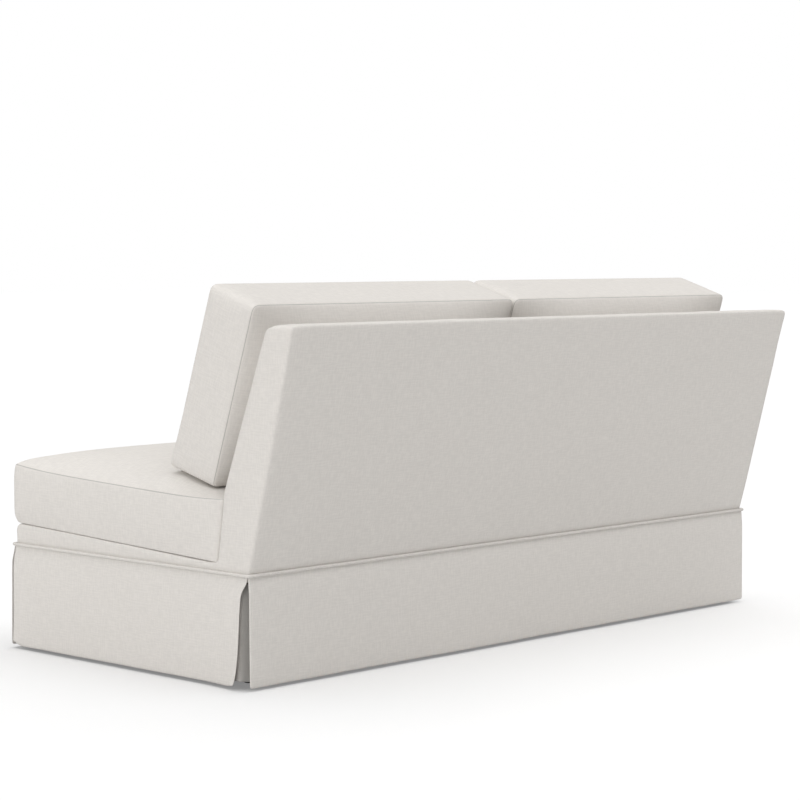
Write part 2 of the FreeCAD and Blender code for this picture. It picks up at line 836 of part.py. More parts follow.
def zip_frame(a, b, along):
    """Placement of a zip on the flat side from a to b: local Y points out of the cushion."""
    (ay, az), (by, bz) = a, b
    angle = math.degrees(math.atan2(bz - az, by - ay)) - 90
    return FreeCAD.Placement(FreeCAD.Vector(along, (ay + by) / 2, (az + bz) / 2),
                             FreeCAD.Rotation(FreeCAD.Vector(1, 0, 0), angle))


def block(placement, x, y, z, dx, dy, dz):
    shape = Part.makeBox(dx, dy, dz, FreeCAD.Vector(x, y, z))
    shape.Placement = placement
    return shape


def make_cushion(kind, side, sign, section, width, flat_side):
    """A cover with a zip slot, its core, the closed zip and its slider."""
    low = val("cushion_gap") / 2
    ends = sorted((low * sign, (low + width) * sign))
    wall = val("cushion_wall")
    gap = val("fit_gap")
    outer = crowned_form(section, *ends)
    hollow = plain_form(section, *ends, wall)
    core = plain_form(section, *ends, wall + val("core_gap"))
    corners = [edge.Vertexes for edge in section(0, 1, 0).OrderedEdges]
    a, b = [(v.Point.y, v.Point.z) for v in corners[flat_side]]
    frame = zip_frame(a, b, sum(ends) / 2)
    long = width - val("zip_margin") * 2
    tall = val("zip_width")
    slot = block(frame, -long / 2, -wall - 0.1, -tall / 2, long, wall + 1, tall)
    cover = outer.cut(hollow).cut(slot)
    node(f"{kind}_cover_{side}", solid_feature(f"{kind}_cover_{side}", cover))
    node(f"{kind}_core_{side}", solid_feature(f"{kind}_core_{side}", core))
    thick = val("zip_thickness")
    tape = block(frame, -long / 2 + gap, -wall, -tall / 2 + gap, long - gap * 2, thick, tall - gap * 2)
    node(f"{kind}_zip_{side}", solid_feature(f"{kind}_zip_{side}", tape))
    short = val("slider_length")
    depth = wall - thick - gap * 2
    start = -long / 2 + gap * 2
    lift = -wall + thick + gap
    tab = short * 1.5
    yoke_x, pull_x = (start, start + short) if sign > 0 else (-start - short, -start - short - tab)
    yoke = block(frame, yoke_x, lift, -tall / 2 + gap * 2, short, depth, tall - gap * 4)
    pull = block(frame, pull_x, lift + depth / 2, -tall / 6, tab, depth / 2, tall / 3)
    node(f"{kind}_slider_{side}", solid_feature(f"{kind}_slider_{side}", yoke.fuse(pull)))


def write_parts():
    doc.recompute()
    os.makedirs("parts", exist_ok=True)
    for thing in doc.Objects:
        bad = [word for word in ("Invalid", "Error") if word in thing.State]
        if bad:
            raise RuntimeError(f"{thing.Label} is {bad}")
    for name, thing in nodes.items():
        shape = thing.Shape
        if shape.isNull() or not shape.isValid() or not shape.Solids:
            raise RuntimeError(f"{name} has no valid solid")
        shape.exportStep(f"parts/{name}.step")


leg_top = size("rail_bottom") - size("dust_cover_thickness")
bolt_bores = make_bolts()
make_base_frame()
make_legs()
make_back_frame()
make_springs()
make_back_padding()
make_slipcover()
make_welt()
make_skirts()
make_flaps()
back_rest = seat_top(back_foot_depth.value) + val("fit_gap")
back_rear_crown = rear_crown_size()
for cushion_side, cushion_sign in SIDES:
    seat_width = val("body_width") / 2 - val("cushion_gap") / 2
    make_cushion("seat", cushion_side, cushion_sign, seat_section, seat_width, 1)
    back_width = seat_width - val("back_inset")
    make_cushion("back", cushion_side, cushion_sign, back_section, back_width, 0)
write_parts()
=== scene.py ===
"""Cloth, cushions and finishes of a skirted armless loveseat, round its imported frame.

Metres. +Z is up, the front faces -Y, and the sitter's left is +X.
"""
import math

import bmesh
import bpy
from bpy.props import FloatProperty, FloatVectorProperty, IntProperty, PointerProperty
from mathutils import Euler, Matrix, Vector, noise
from mathutils.kdtree import KDTree


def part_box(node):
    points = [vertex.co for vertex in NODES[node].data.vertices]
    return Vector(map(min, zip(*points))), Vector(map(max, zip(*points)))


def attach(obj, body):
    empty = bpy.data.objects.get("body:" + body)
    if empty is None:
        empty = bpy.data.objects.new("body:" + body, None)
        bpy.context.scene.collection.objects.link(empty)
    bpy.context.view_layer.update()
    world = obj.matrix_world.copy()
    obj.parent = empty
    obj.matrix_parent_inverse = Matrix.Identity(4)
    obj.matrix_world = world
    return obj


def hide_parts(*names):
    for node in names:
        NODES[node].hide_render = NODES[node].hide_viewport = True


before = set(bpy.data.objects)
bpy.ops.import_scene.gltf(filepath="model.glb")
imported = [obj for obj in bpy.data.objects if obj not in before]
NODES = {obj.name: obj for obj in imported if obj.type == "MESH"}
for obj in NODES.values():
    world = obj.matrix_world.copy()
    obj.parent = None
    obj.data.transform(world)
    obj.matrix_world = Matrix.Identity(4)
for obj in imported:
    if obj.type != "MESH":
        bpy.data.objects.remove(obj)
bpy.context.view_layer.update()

bl_info = {
    "name": "Skirted loveseat",
    "version": (1, 0, 0),
    "blender": (4, 5, 0),
    "location": "View3D > Sidebar > Loveseat",
    "description": "Dresses the loveseat's frame in its slipcover, skirt and cushions",
    "category": "Object",
}

SIDES = (("left", 1), ("right", -1))
BMVert, BMEdge, BMFace = bmesh.types.BMVert, bmesh.types.BMEdge, bmesh.types.BMFace
TINY = 1e-6
CLOSE = 1e-5
NEAR = 1e-4
RIGHT_ANGLE = math.radians(90)
HALF_RIGHT = math.radians(45)

# Places that the frame gives
PANEL_LOW, PANEL_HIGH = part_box("end_panel_left")
HALF_WIDTH = PANEL_HIGH.x
FRONT = PANEL_LOW.y
BODY_FOOT = PANEL_LOW.z
BACK_TOP = PANEL_HIGH.z
REAR_TOP = PANEL_HIGH.y
WELT_LOW, WELT_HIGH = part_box("skirt_welt")
WELT_HEIGHT = (WELT_LOW.z + WELT_HIGH.z) / 2
WELT_RADIUS = (WELT_HIGH.z - WELT_LOW.z) / 2
SKIRT_LOW, SKIRT_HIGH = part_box("rear_skirt")
HEM, SKIRT_TOP = SKIRT_LOW.z, SKIRT_HIGH.z
REAR = SKIRT_LOW.y

# Side outline of the padded body, as depths behind the front and heights
DECK_FRONT = (0.0, 0.305)
DECK_REAR = (0.721, 0.273)
KNEE = (0.744, 0.430)
CREST = (0.883, BACK_TOP)
BACK_EDGE = (REAR_TOP - FRONT, BACK_TOP)
OUTLINE = ((0.0, BODY_FOOT), DECK_FRONT, DECK_REAR, KNEE, CREST, BACK_EDGE, (REAR - FRONT, WELT_HEIGHT),
           (REAR - FRONT, BODY_FOOT))
FRONT_LEAN = (CREST[0] - KNEE[0]) / (BACK_TOP - KNEE[1])
DECK_SLOPE = (DECK_FRONT[1] - DECK_REAR[1]) / DECK_REAR[0]
SEAT_REAR_LEAN = (KNEE[0] - DECK_REAR[0]) / (KNEE[1] - DECK_REAR[1])
CUSHION_LEAN = math.atan(FRONT_LEAN) - math.radians(2.2)
CUSHION_FOOT = (0.659, 0.431)
DECK_CLOTH_FRONT = 0.105

# Gaps between pieces that lie against each other
TOUCH = 0.0004
SEAT_GAP = 0.0003
BACK_GAP = 0.0012
HALF_SPLIT = 0.0006

# What the settings have in common
SHARE = {"min": 0.0, "max": 1.0, "subtype": "FACTOR"}
LIGHT = {"min": 0.0, "max": 10.0}


def number(name, description, default, **limits):
    """A number that a user may change."""
    return FloatProperty(name=name, description=description, default=default, **limits)


def metres(name, description, default, least=0.0):
    """A length that a user may change."""
    return number(name, description, default, min=least, unit="LENGTH")


def tint(name, description, default):
    """A colour that a user may change."""
    return FloatVectorProperty(
        name=name, description=description, default=default, size=3, min=0.0, max=1.0, subtype="COLOR")


class LinenSettings(bpy.types.PropertyGroup):
    """The cloth that covers the seat"""
    colour: tint("Cloth", "Colour of the undyed cloth", (0.740, 0.709, 0.671))
    lining: tint("Deck cloth", "Colour of the deck's cloth", (0.62, 0.59, 0.55))
    dust: tint("Dust cloth", "Colour under the base", (0.035, 0.034, 0.033))
    # Painted shade: the cloth behind the pleats is drawn a little darker than the body's cloth
    pleat_shade: number("Pleat lining", "Lightness of the lining in the pleats", 0.95, **SHARE)
    contrast: number("Slub contrast", "How far the thick threads stand out", 0.040, **SHARE)
    # Strength of the shade painted along sewn seams
    seam_shade: number("Seam shade", "How dark a seam is", 0.55, **SHARE)
    thread: metres("Thread pitch", "Space between threads", 0.0011, 0.0003)


class CoverSettings(bpy.types.PropertyGroup):
    """The fitted slipcover, its welt and its skirt"""
    edge_radius: metres("Edge radius", "Rounding of the ends' edges", 0.008)
    top_radius: metres("Top radius", "Rounding of the back's top front edge", 0.030)
    crown: metres("Panel crown", "How far the padding swells a panel", 0.0035)
    skirt_cloth: metres("Skirt cloth", "Thickness of the lined skirt", 0.0026)
    front_flare: metres("Front flare", "How far the front skirt hangs out", 0.014)
    pleat_opening: metres("Pleat opening", "How far a pleat opens at the hem", 0.034)
    pleat_curl: metres("Pleat curl", "How far an end panel curls out at the hem", 0.010)


class CushionSettings(bpy.types.PropertyGroup):
    """The four loose cushions"""
    cell: metres("Cloth cell", "Size of the covers' cells", 0.0125, 0.006)
    pressure: number("Filling pressure", "Pressure of the filling on the cover", 6.0, min=0.0)
    steps: IntProperty(name="Steps", description="Frames of swelling", default=20, min=2)
    cap: metres("Swell cap", "Furthest that a cover moves as it swells", 0.026)
    seam_depth: metres("Seam depth", "How deep a seam lies", 0.0018)
    seat_height: metres("Seat boxing", "Height of a seat cushion's boxing", 0.142)
    seat_crown: metres("Seat crown", "Rise of a seat cushion's top before filling", 0.047)
    seat_sag: metres("Seat sag", "Dip of a seat cushion's top seam", 0.009)
    front_bulge: metres("Front bulge", "Swell of a seat cushion's front boxing", 0.015)
    end_bulge: metres("End bulge", "Swell of its boxing at the outer corners", 0.008)
    back_height: metres("Back cushion height", "Height along its lean", 0.430)
    back_thickness: metres("Back boxing", "Width of a back cushion's boxing", 0.135)
    front_fullness: number("Boxing fullness", "Extra width of a back cushion's boxing", 0.08, **SHARE)
    front_crown: metres("Back cushion front", "Rise of the front before filling", 0.043)
    rear_crown: metres("Back cushion rear", "Rise of the rear before filling", 0.083)
    rear_roll: metres("Rear roll", "Swell of a back cushion's rear by its seam", 0.007)
    foot_droop: metres("Foot droop", "Hang of a back cushion's lower corners", 0.009)


class StageSettings(bpy.types.PropertyGroup):
    """Light, floor and camera"""
    eye: FloatVectorProperty(
        name="Eye", description="Where the camera stands", default=(4.3265, 4.0557, 0.9546), size=3,
        subtype="TRANSLATION", unit="LENGTH")
    heading: number("Heading", "Where the camera looks, from +X", math.radians(223.614), subtype="ANGLE")
    dip: number("Dip", "How far it looks down", math.radians(3.6276), subtype="ANGLE")
    lens: number("Lens", "Focal length in millimetres", 105.26, min=10)
    sky: number("Sky light", "Strength of the even light", 0.30, **LIGHT)
    key: number("Key light", "Strength of the light from above", 2.2, **LIGHT)
    fill: number("Fill light", "Strength from the left end", 1.36, **LIGHT)
    floor_key: number("Floor light", "Strength of the light on the floor alone", 2.28, **LIGHT)
    veil: number("Floor veil", "How far the seen floor is lifted to white", 0.2, **SHARE)
    floor: tint("Floor", "Colour of the floor as seen", (0.99, 0.99, 0.99))
    bounce: tint("Floor bounce", "Colour of the floor's bounce", (0.86, 0.86, 0.86))


# Small helpers

def smooth_step(low, high, x):
    """0 below low, 1 above high, and an even rise between them."""
    t = min(max((x - low) / (high - low), 0.0), 1.0)
    return t * t * (3 - 2 * t)


def along(points, x):
    """The value at x on a line through the points."""
    for (ax, ay), (bx, by) in zip(points, points[1:]):
        if x <= bx:
            return ay + (by - ay) * (x - ax) / (bx - ax)
    return points[-1][1]


def ripple(place, wavelength, seed):
    """An even, repeatable wave between -1 and 1."""
    return noise.noise(Vector(place) / wavelength + Vector((seed * 7.3, seed * 3.1, seed * 5.7)))


def stepped(start, end, pitch):
    """Even places between two ends, without the ends."""
    count = max(int(round((end - start) / pitch)), 1)
    return [start + (end - start) * i / count for i in range(1, count)]


def of_kind(geom, kind):
    """The parts of a mesh operator's result that are of one kind."""
    return [g for g in geom if isinstance(g, kind)]


def slice_at(bm, axis, places):
    """Cut the mesh across an axis at each place."""
    across = Matrix.Identity(3)[axis]
    for place in places:
        geom = bm.verts[:] + bm.edges[:] + bm.faces[:]
        bmesh.ops.bisect_plane(bm, geom=geom, plane_co=across * place, plane_no=across, dist=TINY)


def bevel(bm, edges, offset, segments):
    """Round edges off."""
    bmesh.ops.bevel(bm, geom=edges, offset=offset, segments=segments, profile=0.5, affect="EDGES",
                    material=-1)


def weave_map(bm, turn=None):
    """Lay the cloth's threads square to each face, in metres."""
    layer = bm.loops.layers.uv.get("weave") or bm.loops.layers.uv.new("weave")
    turn = turn or Matrix.Identity(3)
    for face in bm.faces:
        normal = turn @ face.normal
        axis = max(range(3), key=lambda i: abs(normal[i]))
        u, v = ((1, 2), (0, 2), (0, 1))[axis]
        for loop in face.loops:
            spot = turn @ loop.vert.co
            loop[layer].uv = (spot[u], spot[v])


def put(name, data):
    """Put a new object into the scene."""
    made = bpy.data.objects.new(name, data)
    bpy.context.scene.collection.objects.link(made)
    return made


def piece_from(bm, name, cloth, nodes, body="base"):
    """Make the mesh a piece of that cloth, which rides on its body in place of the CAD nodes."""
    mesh = bpy.data.meshes.new(name)
    bm.to_mesh(mesh)
    bm.free()
    mesh.shade_smooth()
    mesh.materials.append(cloth_finish(cloth))
    piece = put(name, mesh)
    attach(piece, body)
    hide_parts(*nodes)
    return piece


def soften(piece):
    """Round the cage with a subdivision surface."""
    mod = piece.modifiers.new("soften", "SUBSURF")
    mod.levels = mod.render_levels = 1


def thicken(piece, thickness):
    """Give a flat cloth its thickness, half to each side."""
    mod = piece.modifiers.new("cloth", "SOLIDIFY")
    mod.thickness = thickness
    mod.offset = 0.0


# Finishes

class Nodes:
    """A node tree, with short ways to add to it."""

    def __init__(self, tree):
        self.tree = tree

    def add(self, kind, values=None, **settings):
        made = self.tree.nodes.new(f"ShaderNode{kind}")
        for key, value in settings.items():
            setattr(made, key, value)
        for key, value in (values or {}).items():
            self.feed(made.inputs[key], value)
        return made

    def feed(self, socket, value):
        if isinstance(value, bpy.types.NodeSocket):
            self.tree.links.new(value, socket)
        else:
            socket.default_value = value

    def math(self, operation, a, b=0.0):
        return self.add("Math", {0: a, 1: b}, operation=operation).outputs[0]

    def lit_or_seen(self, lit, seen, out):
        """Use one shader for the rays that light the object and another for those that show it."""
        rays = self.add("LightPath").outputs
        shown = self.math("MAXIMUM", rays["Is Camera Ray"], rays["Is Glossy Ray"])
        shown = self.math("MAXIMUM", shown, rays["Is Transmission Ray"])
        pick = self.add("MixShader", {0: shown, 1: lit, 2: seen})
        self.feed(out.inputs[0], pick.outputs[0])


class Finish(Nodes):
    """A material's node tree."""

    def __init__(self, name):
        self.material = bpy.data.materials.new(name)
        self.material.use_nodes = True
        super().__init__(self.material.node_tree)
        self.shader = self.tree.nodes["Principled BSDF"]

    def place(self):
        return self.add("TexCoord").outputs["Object"]

    def total(self, *parts):
        """The sum of values, each times its share."""
        products = [self.math("MULTIPLY", value, share) for value, share in parts]
        whole = products[0]
        for product in products[1:]:
            whole = self.math("ADD", whole, product)
        return whole

    def scaled(self, vector, scale, turn=(0, 0, 0)):
        return self.add("Mapping", {"Vector": vector, "Scale": scale, "Rotation": turn}).outputs[0]

    def noise(self, vector, scale=1.0, detail=2.0, roughness=0.5):
        values = {"Vector": vector, "Scale": scale, "Detail": detail, "Roughness": roughness}
        return self.add("TexNoise", values).outputs["Fac"]

    def between(self, value, low, high, to_low=0.0, to_high=1.0):
        values = {0: value, 1: low, 2: high, 3: to_low, 4: to_high}
        return self.add("MapRange", values, interpolation_type="SMOOTHSTEP").outputs[0]

    def blend(self, share, first, second):
        return self.add("Mix", {0: share, 6: first, 7: second}, data_type="RGBA").outputs[2]

    def set(self, **values):
        for key, value in values.items():
            self.feed(self.shader.inputs[key.replace("_", " ")], value)

    def coat(self, tone, dark, light, rough, relief, distance, strength, **values):
        """Mix two colours by a tone, with a roughness and a relief."""
        bump = self.add("Bump", {"Height": relief, "Distance": distance, "Strength": strength})
        self.set(Base_Color=self.blend(tone, dark, light), Roughness=rough, Normal=bump.outputs[0], **values)
        return self.material


def shade(colour, share=1.0):
    """A colour at a share of its lightness, as a socket takes it."""
    return tuple(c * share for c in colour) + (1.0,)


def linen(name, colour, contrast, turn=0.0, painted_shade_strength=None):
    """Plain woven cloth with uneven threads, soft mottling, and shade painted along seams and in pleats."""
    settings = bpy.context.scene.loveseat_linen
    finish = Finish(name)
    weave = finish.add("UVMap", uv_map="weave").outputs[0]
    if turn:
        weave = finish.scaled(weave, (1, 1, 1), (0, 0, turn))
    streaks = ((560, 22, 1.5), (26, 520, 1.5), (270, 42, 1.0), (36, 300, 1.0))
    fine_warp, fine_weft, slub_warp, slub_weft = [
        finish.noise(finish.scaled(weave, (x, y, 1)), detail=detail) for x, y, detail in streaks]
    mottle = finish.noise(weave, 26.0, 3.0)
    threads = finish.math("ADD", fine_warp, fine_weft)
    slubs = finish.math("ADD", finish.between(slub_warp, 0.62, 0.30), finish.between(slub_weft, 0.34, 0.70))
    tone = finish.total((threads, 0.30), (finish.math("SUBTRACT", slubs, 0.80), 0.55), (mottle, 0.36))
    cloth = finish.blend(tone, shade(colour, 1 - contrast), shade(colour, 1 + contrast))
    # Painted shade: the seam layer draws the colour towards three tenths of its lightness along seams and in
    # pleat recesses
    seam = finish.add("Attribute", attribute_name="seam").outputs["Fac"]
    line = finish.math("MULTIPLY", finish.between(seam, 0.25, 0.85), painted_shade_strength or settings.seam_shade)
    parts = finish.add("SeparateXYZ", {0: weave}).outputs
    turns = 2 * math.pi / settings.thread
    over, under = [finish.math("SINE", finish.math("MULTIPLY", part, turns)) for part in parts[:2]]
    relief = finish.total((over, under), (threads, 1.6), (slubs, 0.8))
    return finish.coat(line, cloth, shade(colour, 0.30), 0.9, relief, 0.00022, 0.55,
                       Specular_IOR_Level=0.12, Sheen_Weight=0.08, Sheen_Roughness=0.45)


def wood(name, dark, light, grain):
    """Straight-grained wood; grain is the axis that it runs along."""
    finish = Finish(name)
    place = finish.place()
    fine, wide = [260.0] * 3, [22.0] * 3
    fine[grain], wide[grain] = 9.0, 1.1
    pores = finish.noise(finish.scaled(place, fine), detail=3.0, roughness=0.6)
    bands = finish.noise(finish.scaled(place, wide), detail=4.0, roughness=0.55)
    tone = finish.between(finish.total((pores, 0.35), (bands, 0.9)), 0.42, 0.85)
    rough = finish.between(pores, 0.3, 0.7, 0.5, 0.68)
    return finish.coat(tone, shade(dark), shade(light), rough, pores, 0.0003, 0.4)


def metal(name, colour, rough):
    """Drawn metal with a little dulling."""
    finish = Finish(name)
    place = finish.place()
    dull = finish.noise(place, 90.0, 4.0)
    spots = finish.noise(place, 900.0, 2.0)
    tone = finish.between(dull, 0.35, 0.7)
    rough = finish.between(dull, 0.3, 0.7, rough * 0.8, rough * 1.3)
    return finish.coat(tone, shade(colour, 0.78), shade(colour), rough, spots, 0.00005, 0.3, Metallic=1.0)


def fibre(name, colour, contrast, scale, rough=0.85):
    """Pressed board or moulded plastic, by its scale and contrast."""
    finish = Finish(name)
    place = finish.place()
    specks = finish.noise(place, scale, 4.0, 0.65)
    clouds = finish.noise(place, scale / 14, 2.0)
    tone = finish.between(finish.total((specks, 0.7), (clouds, 0.5)), 0.4, 0.8)
    rough = finish.between(specks, 0.3, 0.7, rough * 0.92, min(rough * 1.08, 1.0))
    dark, light = shade(colour, 1 - contrast), shade(colour, 1 + contrast)
    return finish.coat(tone, dark, light, rough, specks, 0.2 / scale, 0.35)


def tape(name, colour, pitch):
    """Ribbed woven tape."""
    finish = Finish(name)
    place = finish.place()
    run = finish.add("SeparateXYZ", {0: place}).outputs[0]
    ribs = finish.math("SINE", finish.math("MULTIPLY", run, 2 * math.pi / pitch))
    specks = finish.noise(place, 700.0, 2.0)
    tone = finish.between(finish.total((ribs, 0.3), (specks, 1.0)), 0.2, 0.9)
    return finish.coat(tone, shade(colour, 0.72), shade(colour, 1.1), 0.85, ribs, pitch / 6, 0.5)


def cloth_finish(kind):
    """The named cloth, made once."""
    name = f"woven_{kind}"
    found = bpy.data.materials.get(name)
    if found:
        return found
    settings = bpy.context.scene.loveseat_linen
    colour, contrast = settings.colour[:], settings.contrast
    if kind == "webbing":
        return tape(kind, (0.42, 0.34, 0.22), 0.004)
    if kind == "welt_linen":
        return linen(name, shade(colour, 0.94)[:3], contrast, turn=HALF_RIGHT)
    # The pleats' cloth is the body's cloth drawn darker as painted shade, with stronger painted shade along
    # its seam layer
    if kind == "pleat_painted_shade":
        return linen(name, shade(colour, settings.pleat_shade)[:3], contrast, painted_shade_strength=0.8)
    if kind == "deck_cloth":
        return linen(name, settings.lining[:], contrast * 0.6)
    if kind == "dust_cloth":
        return linen(name, settings.dust[:], contrast * 0.8)
    return linen(name, colour, contrast)


# Slipcover

# Rounding of the deck's front edge, and the bevel's share of the radius at the crest
DECK_EDGE = 0.017
CREST_BEVEL = 0.69
SKIN_CELL = 0.036

# Swell of the ends, what it gains up to their top, and the deck's depth under its cloth
END_SWELL = 0.0022
END_SWELL_TOP = 0.0015
DECK_SINK = 0.0024


def at_corner(edge, depth, height):
    """Whether an edge runs along the body at that corner of its outline."""
    return all(abs(v.co.y - FRONT - depth) < NEAR and abs(v.co.z - height) < NEAR for v in edge.verts)


def make_slipcover(settings):
    """The fitted cover: one sewn skin with soft edges and crowned panels."""
    bm = bmesh.new()
    end = bm.faces.new([bm.verts.new((-HALF_WIDTH, FRONT + d, z)) for d, z in OUTLINE])
    made = bmesh.ops.extrude_face_region(bm, geom=[end])["geom"]
    bmesh.ops.translate(bm, verts=of_kind(made, BMVert), vec=(HALF_WIDTH * 2, 0, 0))
    bmesh.ops.recalc_face_normals(bm, faces=bm.faces[:])
    bevel(bm, [e for e in bm.edges if at_corner(e, *CREST)], settings.top_radius * CREST_BEVEL, 6)
    bevel(bm, [e for e in bm.edges if at_corner(e, *DECK_FRONT)], DECK_EDGE, 4)
    slice_at(bm, 1, [FRONT + DECK_REAR[0]])
    edges = [e for e in bm.edges if all(abs(abs(v.co.x) - HALF_WIDTH) < CLOSE for v in e.verts)
             and abs(e.verts[0].co.x - e.verts[1].co.x) < CLOSE
             and not all(f.normal.x ** 2 > 0.5 for f in e.link_faces)
             and not all(abs(v.co.z - BODY_FOOT) < CLOSE for v in e.verts)]
    edges += [e for e in bm.edges if at_corner(e, *BACK_EDGE)]
    bevel(bm, edges, settings.edge_radius, 3)
    slice_at(bm, 1, [FRONT + d for d in stepped(0.02, 0.72, SKIN_CELL)])
    slice_at(bm, 2, [0.248, 0.262, 0.285] + stepped(0.31, 0.795, SKIN_CELL))
    edges = [e for e in bm.edges if abs(e.verts[0].co.x - e.verts[1].co.x) > 1.0]
    bmesh.ops.subdivide_edges(bm, edges=edges, cuts=56)
    bmesh.ops.recalc_face_normals(bm, faces=bm.faces[:])
    shape_end_edges(bm, settings.edge_radius)
    swell(bm, settings.crown)
    weave_map(bm)
    nodes = ["end_panel_left", "end_panel_right", "front_border", "inside_back_cover", "outside_back_cover",
             "deck_pad", "inside_back_pad", "back_top_pad"]
    piece = piece_from(bm, "slipcover_body", "slipcover_linen", nodes)
    soften(piece)


def shape_end_edges(bm, radius):
    """Draw the deck's end edges tighter towards the front, and round the back's top ends."""
    tighter, rounder = 0.62, 1.6
    for v in bm.verts:
        depth = v.co.y - FRONT
        inset = HALF_WIDTH - abs(v.co.x)
        if inset >= radius + NEAR:
            continue
        below = deck_height(depth) - v.co.z
        if -NEAR < below < radius + NEAR and depth < DECK_REAR[0] - 0.012:
            share = 1 - tighter * smooth_step(0.0, 0.05, depth) * (1 - 0.8 * smooth_step(0.2, 0.7, depth))
            v.co.x = math.copysign(HALF_WIDTH - inset * share, v.co.x)
            v.co.z = deck_height(depth) - below * share
        below = BACK_TOP - v.co.z
        if below < radius + NEAR:
            v.co.x = math.copysign(HALF_WIDTH - inset * rounder, v.co.x)
            v.co.z = BACK_TOP - below * rounder


def swell(bm, crown):
    """Crown the panels, draw them in under the welt, and let their edges wander a little."""
    bm.normal_update()
    moves = {}
    for v in bm.verts:
        x, y, z = v.co
        n = v.normal
        level = smooth_step(BODY_FOOT + 0.012, WELT_HEIGHT + 0.022, z)
        across = 1 - (abs(x) / HALF_WIDTH) ** 4
        up = (z - WELT_HEIGHT) / (BACK_TOP - WELT_HEIGHT)
        move = Vector((0, 0, 0))
        if n.y > 0.6 and z > BODY_FOOT + 0.01:
            arch = math.sin(math.pi * min(max(up, 0.0), 1.0)) ** 0.7
            move += n * (crown * arch * (0.35 + 0.65 * across) + 0.0008 * level * (1 - up) ** 1.5)
        if abs(n.x) > 0.6 and z > BODY_FOOT + 0.01:
            move += n * (END_SWELL + END_SWELL_TOP * max(up, 0.0)) * level
        if n.z > 0.9 and z < KNEE[1] and DECK_CLOTH_FRONT - 0.01 < y - FRONT < DECK_REAR[0] + 0.001:
            move.z -= DECK_SINK * smooth_step(0.0, 0.016, HALF_WIDTH - abs(x))
        if abs(n.z) < 0.9 or z > BACK_TOP - 0.05:
            wander = ripple((x, y, z), 0.11, 1) * 0.0011 + ripple((x, y, z), 0.045, 2) * 0.0004
            move += n * wander * level
        moves[v] = move
    for v, move in moves.items():
        v.co += move


def make_welt():
    """The covered cord between the body and its skirt, with soft corners."""
    bm = bmesh.new()
    turn_radius, step, lower = 0.007, 0.03, 0.002
    inset = WELT_RADIUS + turn_radius
    wide = (WELT_HIGH.x - inset) * 2
    deep = WELT_HIGH.y - WELT_LOW.y - inset * 2
    ring = bmesh.ops.create_circle(bm, segments=12, radius=WELT_RADIUS * 0.8)["verts"]
    spot = Vector((-wide / 2, WELT_LOW.y + WELT_RADIUS, WELT_HEIGHT - lower))
    place = Matrix.Translation(spot) @ Matrix.Rotation(RIGHT_ANGLE, 4, "Y")
    bmesh.ops.transform(bm, matrix=place, verts=ring)
    edges = bm.edges[:]
    heading = Vector((1, 0, 0))
    for length in (wide, deep, wide, deep):
        count = int(length / step)
        for _ in range(count):
            made = bmesh.ops.extrude_edge_only(bm, edges=edges)["geom"]
            fresh = of_kind(made, BMVert)
            bmesh.ops.translate(bm, verts=fresh, vec=heading * (length / count))
            edges = [e for e in of_kind(made, BMEdge) if set(e.verts) <= set(fresh)]
        spot += heading * length
        inward = Vector((-heading.y, heading.x, 0))
        made = bmesh.ops.spin(bm, geom=edges + list(dict.fromkeys(v for e in edges for v in e.verts)),
                              cent=spot + inward * turn_radius, axis=(0, 0, 1), angle=RIGHT_ANGLE, steps=5)
        edges = of_kind(made["geom_last"], BMEdge)
        spot += heading * turn_radius + inward * turn_radius
        heading = inward
    bmesh.ops.remove_doubles(bm, verts=bm.verts[:], dist=CLOSE)
    bmesh.ops.recalc_face_normals(bm, faces=bm.faces[:])
    for v in bm.verts:
        v.co.z += ripple(v.co, 0.12, 3) * 0.0004
    weave_map(bm)
    soften(piece_from(bm, "skirt_welt_cord", "welt_linen", ["skirt_welt"]))


# Skirt and pleats

# How far a skirt is tucked up under the welt, and how much longer it is than the CAD panel
SKIRT_TUCK = 0.004
SKIRT_EXTRA = 0.007

# Share of the pleat opening that an end panel has drawn back, by share of the drop
PLEAT_EDGE = [(0.0, 0.0), (0.085, 0.0), (0.10, 0.20), (0.125, 0.38), (0.17, 0.50), (0.25, 0.565),
              (0.40, 0.60), (0.61, 0.625), (0.75, 0.68), (0.85, 0.75), (0.92, 0.84), (0.97, 0.94), (1.0, 1.0)]


def hanging_grid(width, drop, cell):
    """A flat panel of cloth, with x across it and z down from its top."""
    bm = bmesh.new()
    across, down = int(round(width / cell)), int(round(drop / cell))
    bmesh.ops.create_grid(bm, x_segments=across, y_segments=down, size=0.5)
    place = Matrix.Translation((0, 0, -drop / 2)) @ Matrix.Diagonal((width, 1, drop, 1))
    bmesh.ops.transform(bm, matrix=place @ Matrix.Rotation(RIGHT_ANGLE, 4, "X"), verts=bm.verts[:])
    return bm


def hang(bm, half, drop, flare, ends, seed):
    """Let a panel hang, with each end drawn back and curled by its own measures."""
    curl_reach, round_reach = 0.14, 0.045
    for v in bm.verts:
        u, z = v.co.x, v.co.z
        down = -z / drop
        share = u / half
        opening, curl, rounding = ends[0] if u < 0 else ends[1]
        length = half - opening * along(PLEAT_EDGE, down)
        out = flare * (smooth_step(0.0, 0.20, down) * 0.85 + down * 0.15)
        near_end = max(abs(share) * half - (half - curl_reach), 0.0) / curl_reach
        out += curl * down * near_end ** 2
        z += rounding * smooth_step(half - round_reach, half, abs(u)) ** 2 * smooth_step(0.6, 1.0, down)
        out += ripple((u, seed * 3.0, z * 0.35), 0.26, seed) * 0.0032 * down
        out += ripple((u, seed * 3.0, z * 0.5), 0.09, seed + 4) * 0.0008 * down
        z += ripple((u, 1.0, 0.0), 0.17, seed + 8) * 0.0009 * down
        v.co = Vector((share * length, out, z))


